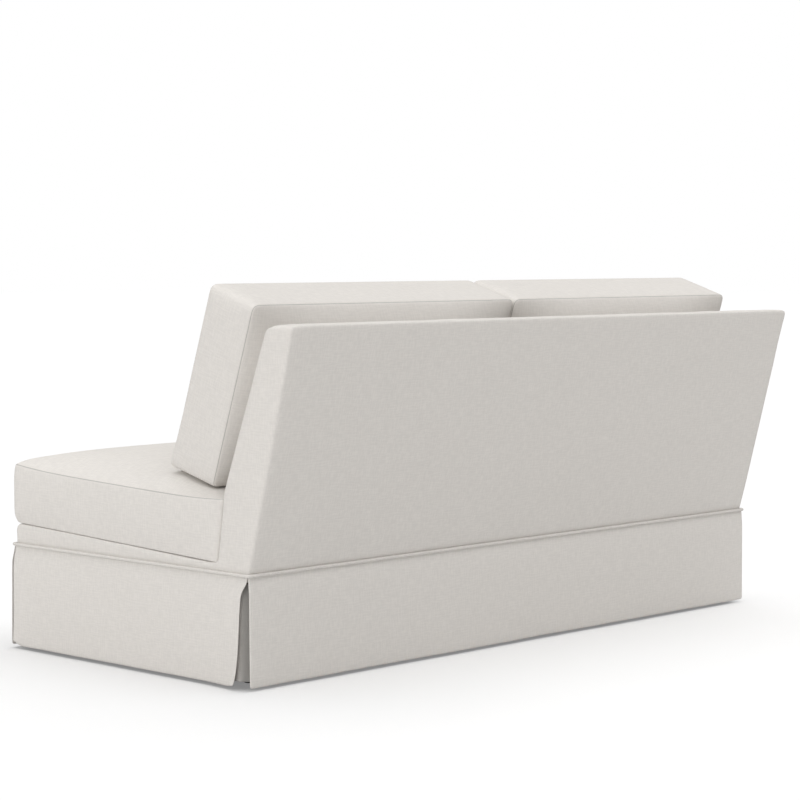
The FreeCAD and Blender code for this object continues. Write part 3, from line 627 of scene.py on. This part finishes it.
def make_skirts(settings):
    """Four plain hanging panels with open kick pleats at the corners."""
    drop = SKIRT_TOP - HEM + SKIRT_EXTRA
    cloth = settings.skirt_cloth
    deep = (REAR - FRONT) / 2
    wide = HALF_WIDTH + 0.003
    mid = (FRONT + REAR) / 2
    # How far a panel's end opens, curls and is rounded at the hem
    square = (0.0, 0.0005, 0.0)
    front = (-0.011, 0.001, 0.009)
    rear = (settings.pleat_opening, settings.pleat_curl, 0.003)
    plain = (square, square)
    panels = [
        ("skirt_panel_front", "front_skirt", wide, settings.front_flare, plain, 180, (0, FRONT), 1),
        ("skirt_panel_rear", "rear_skirt", wide, 0.0035, plain, 0, (0, REAR), 2),
        ("skirt_panel_left", "skirt_left", deep, 0.003, (rear, front), -90, (HALF_WIDTH, mid), 3),
        ("skirt_panel_right", "skirt_right", deep, 0.003, (front, rear), 90, (-HALF_WIDTH, mid), 4),
    ]
    for name, node, half, flare, ends, turn, (x, y), seed in panels:
        bm = hanging_grid(half * 2, drop, 0.012)
        weave_map(bm)
        hang(bm, half, drop, flare, ends, seed)
        turned = Matrix.Rotation(math.radians(turn), 4, "Z") @ Matrix.Translation((0, cloth / 2 + TOUCH, 0))
        place = Matrix.Translation((x, y, SKIRT_TOP + SKIRT_TUCK)) @ turned
        bmesh.ops.transform(bm, matrix=place, verts=bm.verts[:])
        piece = piece_from(bm, name, "slipcover_linen", [node])
        thicken(piece, cloth)
        soften(piece)


def make_flaps():
    """The cloth behind each open pleat, folded round its corner of the base."""
    fold, cloth = 0.016, 0.0018
    bend = fold / HALF_RIGHT
    corner = bend * math.cos(HALF_RIGHT) + bend * math.sin(HALF_RIGHT)
    ease = 0.022
    for end, rearward in (("front", -1), ("rear", 1)):
        for side, sign in SIDES:
            node = f"pleat_flap_{end}_{side}"
            low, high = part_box(node)
            leaf = high.x - low.x
            drop = high.z - low.z + 0.008
            bm = hanging_grid(leaf * 2, drop, 0.011)
            weave_map(bm)
            # Painted shade in the pleat's recess: the seam layer rises towards the folded corner and towards
            # the hem
            deep = bm.verts.layers.float.new("seam")
            for v in bm.verts:
                u, z = v.co.x, v.co.z
                v[deep] = 1 - smooth_step(0.0, 0.026, abs(u)) * (1 + z / drop * 0.4)
                wave = ripple((u, 0, z), 0.07, 11) * 0.0012 * (-z / drop)
                angle = HALF_RIGHT * min(abs(u) / fold, 1.0)
                past = max(abs(u) - fold, 0.0)
                a = bend * math.sin(angle) + past * math.cos(angle)
                b = bend * math.cos(angle) - past * math.sin(angle)
                v.co = Vector((math.copysign(a, u), b + wave, z))
            outer = Vector((high.x if sign > 0 else low.x, high.y if rearward > 0 else low.y, high.z))
            out = Vector((sign, rearward, 0)).normalized()
            turn = math.atan2(out.y, out.x) - RIGHT_ANGLE
            place = Matrix.Translation(outer - out * (corner + 0.001)) @ Matrix.Rotation(turn, 4, "Z")
            bmesh.ops.transform(bm, matrix=place, verts=bm.verts[:])
            for v in bm.verts:
                behind = min(abs(v.co.y - outer.y) / ease, 1.0)
                beside = min(abs(v.co.x - outer.x) / ease, 1.0)
                v.co.x += sign * (0.0115 * behind - 0.005)
                v.co.y += math.copysign(0.0055 * beside * (1 - behind), out.y)
            name = f"pleat_cloth_{end}_{side}"
            piece = piece_from(bm, name, "pleat_painted_shade", [node])
            thicken(piece, cloth)
            soften(piece)


# Cushions

SEAM_WIDTH = 0.0020
SEAM_REACH = 0.0014
ZIP_HALF = 0.005
ZIP_DEPTH = 0.0046
COVER_CLOTH = {"quality": 6, "mass": 0.3, "tension_stiffness": 18, "compression_stiffness": 18,
               "shear_stiffness": 8, "bending_stiffness": 1.2, "use_pressure": True}

# Depth from which the back cushions lie on a seat cushion, and where they hold it down
UNDER_BACK = 0.56
HELD_DOWN = 0.62


def cushion_box(width, length, thick, cell):
    """A box of even cells from the origin, with its seams marked."""
    bm = bmesh.new()
    bmesh.ops.create_cube(bm, size=1.0)
    bmesh.ops.translate(bm, verts=bm.verts[:], vec=(0.5, 0.5, 0.5))
    bmesh.ops.scale(bm, verts=bm.verts[:], vec=(width, length, thick))
    for axis, size in enumerate((width, length, thick)):
        edges = [e for e in bm.edges if abs((e.verts[0].co - e.verts[1].co)[axis]) > TINY]
        bmesh.ops.subdivide_edges(bm, edges=edges, cuts=max(int(round(size / cell)) - 1, 1))
    for e in bm.edges:
        level = {round(v.co.z, 6) for v in e.verts}
        rim = all(v.co.x < TINY or v.co.x > width - TINY or v.co.y < TINY or v.co.y > length - TINY
                  for v in e.verts)
        flat = level <= {0.0} or level <= {round(thick, 6)}
        e.seam = rim and flat and any(abs(f.normal.z) < 0.5 for f in e.link_faces)
    return bm


def round_plan(point, width, length, near, far):
    """Move a point in plan to round the box's corners, by one radius at each end."""
    for cx, cy in ((0, 0), (1, 0), (0, 1), (1, 1)):
        radius = far if cy else near
        centre = Vector((width - radius if cx else radius, length - radius if cy else radius))
        d = Vector((point.x, point.y)) - centre
        outside = (d.x > 0 if cx else d.x < 0) and (d.y > 0 if cy else d.y < 0)
        if outside and d.length > 1e-9:
            d = d.normalized() * max(abs(d.x), abs(d.y))
            point.x, point.y = centre.x + d.x, centre.y + d.y


def dome(gap, reach, power):
    """Share of a crown at a distance from a seam, whole past its reach."""
    return 1 - (1 - min(max(gap, 0.0) / reach, 1.0)) ** power


def nearest(a, b):
    """The smaller of two distances, eased where they are alike."""
    if min(a, b) < TINY:
        return 0.0
    return (a ** -2 + b ** -2) ** (-1 / 2)


def deck_height(depth):
    """Height of the deck at a depth behind the front."""
    return DECK_FRONT[1] - DECK_SLOPE * depth


def back_face(height):
    """Depth of the back's front face above its knee."""
    return KNEE[0] + (height - KNEE[1]) * FRONT_LEAN


def inflate(piece, settings, held):
    """Swell a cover with its filling's pressure, with the held places kept still."""
    rest = [v.co.copy() for v in piece.data.vertices]
    group = piece.vertex_groups.new(name="held")
    group.add(held, 1.0, "REPLACE")
    mod = piece.modifiers.new("filling", "CLOTH")
    for key, value in COVER_CLOTH.items():
        setattr(mod.settings, key, value)
    mod.settings.uniform_pressure_force = settings.pressure
    mod.settings.vertex_group_mass = group.name
    mod.settings.effector_weights.gravity = 0.0
    mod.point_cache.frame_start = 1
    mod.point_cache.frame_end = settings.steps
    scene = bpy.context.scene
    for number in range(1, settings.steps + 1):
        scene.frame_set(number)
    swollen = piece.evaluated_get(bpy.context.evaluated_depsgraph_get()).data
    ends = [v.co.copy() for v in swollen.vertices]
    piece.modifiers.remove(mod)
    piece.vertex_groups.remove(group)
    scene.frame_set(1)
    for v, start, stop in zip(piece.data.vertices, rest, ends):
        move = stop - start
        v.co = start + move * (settings.cap / (settings.cap + move.length))


def sew(bm, depth, resting):
    """Turn the marked edges into sunk seams, with shade painted along them through the seam layer; a resting
    one stays level.
    """
    seam_edges = [e for e in bm.edges if e.seam]
    spots = {v: v.co.copy() for e in seam_edges for v in e.verts}
    tree = KDTree(len(spots))
    for i, co in enumerate(spots.values()):
        tree.insert(co, i)
    tree.balance()
    bevel(bm, seam_edges, SEAM_WIDTH, 2)
    bm.normal_update()
    painted_seam_shade = bm.verts.layers.float.new("seam")
    for v in [v for v in bm.verts if tree.find(v.co)[2] < SEAM_REACH and not resting(v.co)]:
        v[painted_seam_shade] = 1.0
        v.co -= v.normal * depth


def open_zip(bm, node, out):
    """Cut a zip's slot through the side that it lies behind, and turn its edges in."""
    low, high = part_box(node)
    centre = (low + high) / 2
    lengthways = Vector((1, 0, 0))
    across = out.cross(lengthways).normalized()
    reach = (high.x - low.x) / 2 + TOUCH

    def off(face, way):
        return abs((face.calc_center_median() - centre).dot(way))

    near = [f for f in bm.faces if f.normal.dot(out) > 0.9 and off(f, across) < 0.03 and off(f, out) < 0.02]
    for normal, place in ((across, ZIP_HALF), (-across, ZIP_HALF), (lengthways, reach), (-lengthways, reach)):
        geom = list(dict.fromkeys(g for f in near for g in (*f.verts, *f.edges, f)))
        spot = centre + normal * place
        made = bmesh.ops.bisect_plane(bm, geom=geom, plane_co=spot, plane_no=normal, dist=TINY)
        near = list(dict.fromkeys(of_kind(made["geom"], BMFace)))
    inside = [f for f in near if off(f, across) < ZIP_HALF and off(f, lengthways) < reach]
    if not inside:
        raise RuntimeError(f"no cloth lies over {node}")
    made = bmesh.ops.extrude_face_region(bm, geom=inside)["geom"]
    bmesh.ops.translate(bm, verts=of_kind(made, BMVert), vec=-out * ZIP_DEPTH)
    bmesh.ops.delete(bm, geom=of_kind(made, BMFace), context="FACES")
    bmesh.ops.delete(bm, geom=[f for f in inside if f.is_valid], context="FACES")


def make_cushions(kind, length, thick, radii, still, shape, fit, resting, out, turn=None):
    """Make both cushions of a kind, each from a box that is shaped, swollen, fitted and sewn."""
    settings = bpy.context.scene.loveseat_cushions
    for side, sign in SIDES:
        low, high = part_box(f"{kind}_cover_{side}")
        width = high.x - low.x
        inner = low.x if sign > 0 else high.x
        bm = cushion_box(width, length, thick, settings.cell)
        held = []
        for i, v in enumerate(bm.verts):
            if still(v.co) or any(e.seam for e in v.link_edges):
                held.append(i)
            point = v.co.copy()
            round_plan(point, width, length, *radii)
            x, depth, height = shape(v.co, point, width)
            v.co = Vector((inner + sign * x, FRONT + depth, height))
        if sign < 0:
            bmesh.ops.reverse_faces(bm, faces=bm.faces[:])
        nodes = [f"{kind}_cover_{side}", f"{kind}_core_{side}"]
        name, body = f"{kind}_cushion_cover_{side}", f"{kind}_cushion_{side}"
        piece = piece_from(bm, name, "cushion_linen", nodes, body)
        inflate(piece, settings, held)
        bm = bmesh.new()
        bm.from_mesh(piece.data)
        for v in bm.verts:
            v.co.x = sign * max(sign * v.co.x, HALF_SPLIT)
            fit(v.co)
        sew(bm, settings.seam_depth, resting)
        open_zip(bm, f"{kind}_zip_{side}", out)
        bm.normal_update()
        weave_map(bm, turn)
        bm.to_mesh(piece.data)
        bm.free()
        piece.data.shade_smooth()
        soften(piece)


def seat_lift(crown, across, depth, length):
    """Rise of a seat cushion's top, low but full to its ends under the back cushions."""
    rear = 1 - 0.75 * smooth_step(0.42, 0.66, depth)
    gap = nearest(across, depth)
    rise = 0.19 * dome(gap, 0.03, 3) + 0.81 * dome(gap, 0.21, 1.9)
    rise += (dome(across, 0.05, 2) - rise) * smooth_step(0.43, 0.53, depth)
    return crown * rise * rear * dome(length - depth, 0.06, 1.5)


def make_seat_cushions(settings):
    """Two boxed seat cushions, crowned on top and flat on the deck."""
    length, thick = DECK_REAR[0] - TOUCH, settings.seat_height

    def still(co):
        return co.z < TINY or co.y / length > 1 - TINY

    def shape(co, point, width):
        u, w, c = co.x / width, co.y / length, co.z / thick
        sag = settings.seat_sag * (1 - (2 * w - 1) ** 4) * c
        across = min(co.x, width - co.x)
        lift = 0.0
        if c > 1 - TINY:
            lift = seat_lift(settings.seat_crown, across, co.y, length)
            sag *= 1 - smooth_step(0.0, 0.25, min(u, 1 - u, w) * 2)
        height = point.z - sag + lift
        depth = point.y + height * SEAT_REAR_LEAN * (point.y / length)
        full = 1 - (0.5 * (2 * c - 1) ** 4 if c > 0.5 else (2 * c - 1) ** 8)
        if w < TINY:
            more = (settings.front_bulge - settings.end_bulge) * dome(across, 0.15, 2)
            depth -= full * (settings.end_bulge + more)
        if u > 1 - TINY:
            bulge = full * settings.end_bulge * (1 - 0.6 * math.sin(math.pi * w))
            point.x += bulge * (1 - smooth_step(0.7, 1.0, w))
        return point.x, depth, deck_height(point.y) + TOUCH + height

    def fit(co):
        """Keep a point on the deck, under the back cushions and ahead of the back."""
        depth = co.y - FRONT
        if depth > UNDER_BACK:
            share = min(max(depth / DECK_REAR[0], 0.0), 1.0)
            top = deck_height(depth) + thick + TOUCH + 0.030 * (1 - (2 * share - 1) ** 2)
            co.z = min(co.z, top + 0.012 * (1 - smooth_step(UNDER_BACK, HELD_DOWN, depth)))
        co.z = max(co.z, deck_height(depth) + SEAT_GAP)
        wall = DECK_REAR[0] + (co.z - DECK_REAR[1]) * SEAT_REAR_LEAN - SEAT_GAP
        if depth > wall:
            co.y = FRONT + wall

    def on_deck(co):
        return co.z < deck_height(co.y - FRONT) + 0.01

    out = Vector((0, 1, -SEAT_REAR_LEAN)).normalized()
    make_cushions("seat", length, thick, (0.009, 0.010), still, shape, fit, on_deck, out)


def make_back_cushions(settings):
    """Two boxed back cushions that stand on the seat and lean on the back."""
    length, thick = settings.back_height, settings.back_thickness
    foot = Vector(CUSHION_FOOT)
    up = Vector((math.sin(CUSHION_LEAN), math.cos(CUSHION_LEAN)))
    ahead = Vector((-math.cos(CUSHION_LEAN), math.sin(CUSHION_LEAN)))

    def still(co):
        return co.y / length < TINY

    def shape(co, point, width):
        w, c = co.y / length, co.z / thick
        ends = min(co.x, width - co.x)
        rims = min(co.y, length - co.y)
        lift = 0.0
        if c > 1 - TINY:
            lift = settings.front_crown * dome(ends, 0.20, 1.8) * dome(rims, 0.19, 1.8)
        if c < TINY:
            roll = settings.rear_roll * dome(nearest(ends, rims), 0.045, 2)
            lift = -roll - settings.rear_crown * dome(ends, 0.26, 1.6) * dome(rims, 0.21, 1.8)
        droop = settings.foot_droop * c * (1 - smooth_step(0.0, 0.3, w))
        droop *= 1 - smooth_step(0.02, 0.14, ends)
        t = point.z * (1 + settings.front_fullness) + lift + droop * 0.5
        flat = foot + ahead * t + up * (point.y - droop)
        return point.x, flat.x, flat.y

    def fit(co):
        """Keep a point ahead of the back."""
        wall = back_face(co.z) - BACK_GAP
        if co.z < BACK_TOP and co.y - FRONT > wall:
            co.y = FRONT + wall

    out = Vector((0, -up.x, -up.y))
    turn = Matrix.Rotation(CUSHION_LEAN, 3, "X")
    make_cushions("back", length, thick, (0.010, 0.015), still, shape, fit, lambda co: False, out, turn)


# Hidden cloth and frame

def spread_cloth(name, node, cells, thickness, spot):
    """A flat cloth; spot gives its points by shares of its width and depth."""
    bm = bmesh.new()
    bmesh.ops.create_grid(bm, x_segments=cells[0], y_segments=cells[1], size=0.5)
    for v in bm.verts:
        v.co = spot(v.co.x, v.co.y)
    weave_map(bm)
    piece = piece_from(bm, name, name, [node])
    thicken(piece, thickness)
    return piece


def make_deck_cloth():
    """Plain cloth laid over the deck pad, under the seat cushions."""
    low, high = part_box("deck_cover")
    start, stop = DECK_CLOTH_FRONT, DECK_REAR[0] - 0.001

    def spot(u, w):
        x = u * (high.x - low.x - 0.004)
        depth = start + (w + 0.5) * (stop - start)
        wave = ripple((x, depth, 0), 0.12, 5) * 0.0003
        return Vector((x, FRONT + depth, deck_height(depth) - 0.0010 + wave))

    piece = spread_cloth("deck_cloth", "deck_cover", (60, 22), 0.0012, spot)


def make_dust_cloth():
    """Thin black cloth stretched under the base."""
    low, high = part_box("dust_cover")
    wide, deep = high.x - low.x, high.y - low.y

    def spot(u, w):
        x = u * wide
        y = (low.y + high.y) / 2 + w * deep
        return Vector((x, y, (low.z + high.z) / 2 + 0.0003 + ripple((x, y, 0), 0.1, 6) * 0.0003))

    piece = spread_cloth("dust_cloth", "dust_cover", (70, 32), 0.0006, spot)


def make_webbing():
    """Straps stretched across the back frame, behind its padding."""
    low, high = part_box("back_webbing")
    straps, gap = 4, 0.026
    pitch = (high.z - low.z + gap) / straps
    cover, pad, clear = 0.004, 0.018, 0.001
    layers = cover + pad + clear
    bm = bmesh.new()
    for k in range(straps):
        for v in bmesh.ops.create_grid(bm, x_segments=40, y_segments=3, size=0.5)["verts"]:
            x = v.co.x * (high.x - low.x)
            z = low.z + pitch * k + (v.co.y + 0.5) * (pitch - gap)
            v.co = Vector((x, FRONT + back_face(z) + layers + 0.0004 * math.cos(x * 9), z))
    weave_map(bm)
    piece = piece_from(bm, "webbing_straps", "webbing", ["back_webbing"])
    thicken(piece, 0.0018)


def finish_frame():
    """Give the wood, metal, board and plastic of the frame their finishes."""
    pale, deep = (0.60, 0.43, 0.26), (0.36, 0.23, 0.12)
    leg_wood = wood("leg_wood", (0.045, 0.028, 0.018), (0.10, 0.065, 0.042), 2)
    steel = metal("bolt_steel", (0.62, 0.63, 0.64), 0.34)
    zip_tape = tape("zip_tape", (0.55, 0.52, 0.47), 0.0016)
    zip_metal = metal("zip_metal", (0.66, 0.62, 0.52), 0.3)
    finishes = {
        "leg_bolts": steel, "spring_clips": steel,
        "seat_springs": metal("spring_steel", (0.20, 0.205, 0.21), 0.42),
        "leg_glides": fibre("glide_plastic", (0.06, 0.06, 0.062), 0.12, 420.0, 0.5),
        "outside_back_board": fibre("backing_board", (0.40, 0.29, 0.18), 0.2, 260.0),
    }
    lengthways = ("front_rail", "rear_rail", "back_top_rail", "back_lumbar_rail", "back_seat_rail",
                  "corner_blocks")
    rearwards = ("end_rail_left", "end_rail_right", "centre_rail")
    upright = ("back_post_left", "back_post_right", "back_post_centre")
    for axis, nodes in enumerate((lengthways, rearwards, upright)):
        finishes.update(dict.fromkeys(nodes, wood(f"frame_wood_{'xyz'[axis]}", deep, pale, axis)))
    for spot in ("front_left", "front_right", "rear_left", "rear_right", "centre"):
        finishes[f"leg_{spot}"] = leg_wood
    for side, _ in SIDES:
        for kind in ("seat", "back"):
            finishes[f"{kind}_zip_{side}"] = zip_tape
            finishes[f"{kind}_slider_{side}"] = zip_metal
    for node, material in finishes.items():
        mesh = NODES[node].data
        mesh.materials.clear()
        mesh.materials.append(material)


# Stage

FLOOR_SIZE = 40.0
FLOOR_GLOW = 1.12
WHITE = (1.0, 1.0, 1.0, 1.0)


def wide_lamp(name, strength, towards, spread, floor, on_floor):
    """A wide, soft lamp that leaves the floor out or lights it alone."""
    lamp = bpy.data.lights.new(name, "SUN")
    lamp.energy = strength
    lamp.angle = math.radians(spread)
    made = put(name, lamp)
    made.rotation_euler = Vector(towards).to_track_quat("Z", "Y").to_euler()
    lit = bpy.data.collections.new(f"lit_by_{name}")
    lit.objects.link(floor)
    lit.collection_objects[0].light_linking.link_state = on_floor
    made.light_linking.receiver_collection = lit


def make_stage(settings):
    """A white floor with a lamp of its own, sky light, two lamps for the seat, and the camera."""
    scene = bpy.context.scene
    bm = bmesh.new()
    bmesh.ops.create_grid(bm, x_segments=1, y_segments=1, size=FLOOR_SIZE)
    mesh = bpy.data.meshes.new("floor")
    bm.to_mesh(mesh)
    bm.free()
    floor = put("floor", mesh)
    finish = Finish("floor_paint")
    finish.set(Base_Color=shade(settings.bounce), Roughness=1.0, Specular_IOR_Level=0.0)
    paint = finish.add("BsdfDiffuse", {"Color": shade(settings.floor)})
    white = finish.add("Emission", {"Color": WHITE, "Strength": FLOOR_GLOW})
    seen = finish.add("MixShader", {0: settings.veil, 1: paint.outputs[0], 2: white.outputs[0]})
    finish.lit_or_seen(finish.shader.outputs[0], seen.outputs[0], finish.tree.nodes["Material Output"])
    mesh.materials.append(finish.material)
    scene.world = bpy.data.worlds.new("studio")
    scene.world.use_nodes = True
    sky = Nodes(scene.world.node_tree)
    sky.tree.nodes.clear()
    skies = [sky.add("Background", {"Color": WHITE, "Strength": strength}).outputs[0]
             for strength in (settings.sky, 1.0)]
    sky.lit_or_seen(*skies, sky.add("OutputWorld"))
    wide_lamp("key", settings.key, (0.05, 0.17, 1.0), 90, floor, "EXCLUDE")
    wide_lamp("fill", settings.fill, (0.92, 0.25, 0.16), 50, floor, "EXCLUDE")
    wide_lamp("floor_key", settings.floor_key, (-0.24, 0.07, 1.0), 90, floor, "INCLUDE")
    lens = bpy.data.cameras.new("camera")
    lens.lens = settings.lens
    lens.sensor_width = 36.0
    lens.clip_end = 200.0
    camera = put("camera", lens)
    camera.location = settings.eye
    camera.rotation_euler = Euler((RIGHT_ANGLE - settings.dip, 0, settings.heading - RIGHT_ANGLE))
    scene.camera = camera
    scene.view_settings.view_transform = "Standard"


# Operators

class LOVESEAT_OT_stage(bpy.types.Operator):
    """Set out the floor, the light and the camera"""
    bl_idname = "loveseat.stage"
    bl_label = "Stage"

    def execute(self, context):
        make_stage(context.scene.loveseat_stage)
        return {"FINISHED"}


class LOVESEAT_OT_frame(bpy.types.Operator):
    """Finish the frame's wood, metal, board and zips"""
    bl_idname = "loveseat.frame"
    bl_label = "Frame finishes"

    def execute(self, context):
        finish_frame()
        return {"FINISHED"}


class LOVESEAT_OT_linings(bpy.types.Operator):
    """Fit the deck cloth, the dust cloth and the back's webbing"""
    bl_idname = "loveseat.linings"
    bl_label = "Linings"

    def execute(self, context):
        make_deck_cloth()
        make_dust_cloth()
        make_webbing()
        return {"FINISHED"}


class LOVESEAT_OT_slipcover(bpy.types.Operator):
    """Fit the slipcover over the padded body"""
    bl_idname = "loveseat.slipcover"
    bl_label = "Slipcover"

    def execute(self, context):
        make_slipcover(context.scene.loveseat_cover)
        return {"FINISHED"}


class LOVESEAT_OT_welt(bpy.types.Operator):
    """Run the welt round the base"""
    bl_idname = "loveseat.welt"
    bl_label = "Welt"

    def execute(self, context):
        make_welt()
        return {"FINISHED"}


class LOVESEAT_OT_skirt(bpy.types.Operator):
    """Hang the four skirt panels and the cloth behind their pleats"""
    bl_idname = "loveseat.skirt"
    bl_label = "Skirt"

    def execute(self, context):
        make_skirts(context.scene.loveseat_cover)
        make_flaps()
        return {"FINISHED"}


class LOVESEAT_OT_seat_cushions(bpy.types.Operator):
    """Fill and sew the two seat cushions"""
    bl_idname = "loveseat.seat_cushions"
    bl_label = "Seat cushions"

    def execute(self, context):
        make_seat_cushions(context.scene.loveseat_cushions)
        return {"FINISHED"}


class LOVESEAT_OT_back_cushions(bpy.types.Operator):
    """Fill and sew the two back cushions"""
    bl_idname = "loveseat.back_cushions"
    bl_label = "Back cushions"

    def execute(self, context):
        make_back_cushions(context.scene.loveseat_cushions)
        return {"FINISHED"}


OPERATORS = (
    LOVESEAT_OT_stage, LOVESEAT_OT_frame, LOVESEAT_OT_linings, LOVESEAT_OT_slipcover, LOVESEAT_OT_welt,
    LOVESEAT_OT_skirt, LOVESEAT_OT_seat_cushions, LOVESEAT_OT_back_cushions,
)


class LOVESEAT_PT_pieces(bpy.types.Panel):
    """The loveseat's pieces, in the order in which they are made"""
    bl_label = "Loveseat"
    bl_idname = "LOVESEAT_PT_pieces"
    bl_space_type = "VIEW_3D"
    bl_region_type = "UI"
    bl_category = "Loveseat"

    def draw(self, context):
        for operator in OPERATORS:
            self.layout.operator(operator.bl_idname)


SETTINGS = {
    "loveseat_linen": LinenSettings, "loveseat_cover": CoverSettings, "loveseat_cushions": CushionSettings,
    "loveseat_stage": StageSettings,
}
CLASSES = tuple(SETTINGS.values()) + OPERATORS + (LOVESEAT_PT_pieces,)


def register():
    for cls in CLASSES:
        bpy.utils.register_class(cls)
    for name, cls in SETTINGS.items():
        setattr(bpy.types.Scene, name, PointerProperty(type=cls))


def unregister():
    for name in SETTINGS:
        delattr(bpy.types.Scene, name)
    for cls in reversed(CLASSES):
        bpy.utils.unregister_class(cls)


def main():
    register()
    for operator in OPERATORS:
        group, name = operator.bl_idname.split(".")
        getattr(getattr(bpy.ops, group), name)()


if __name__ == "__main__":
    main()
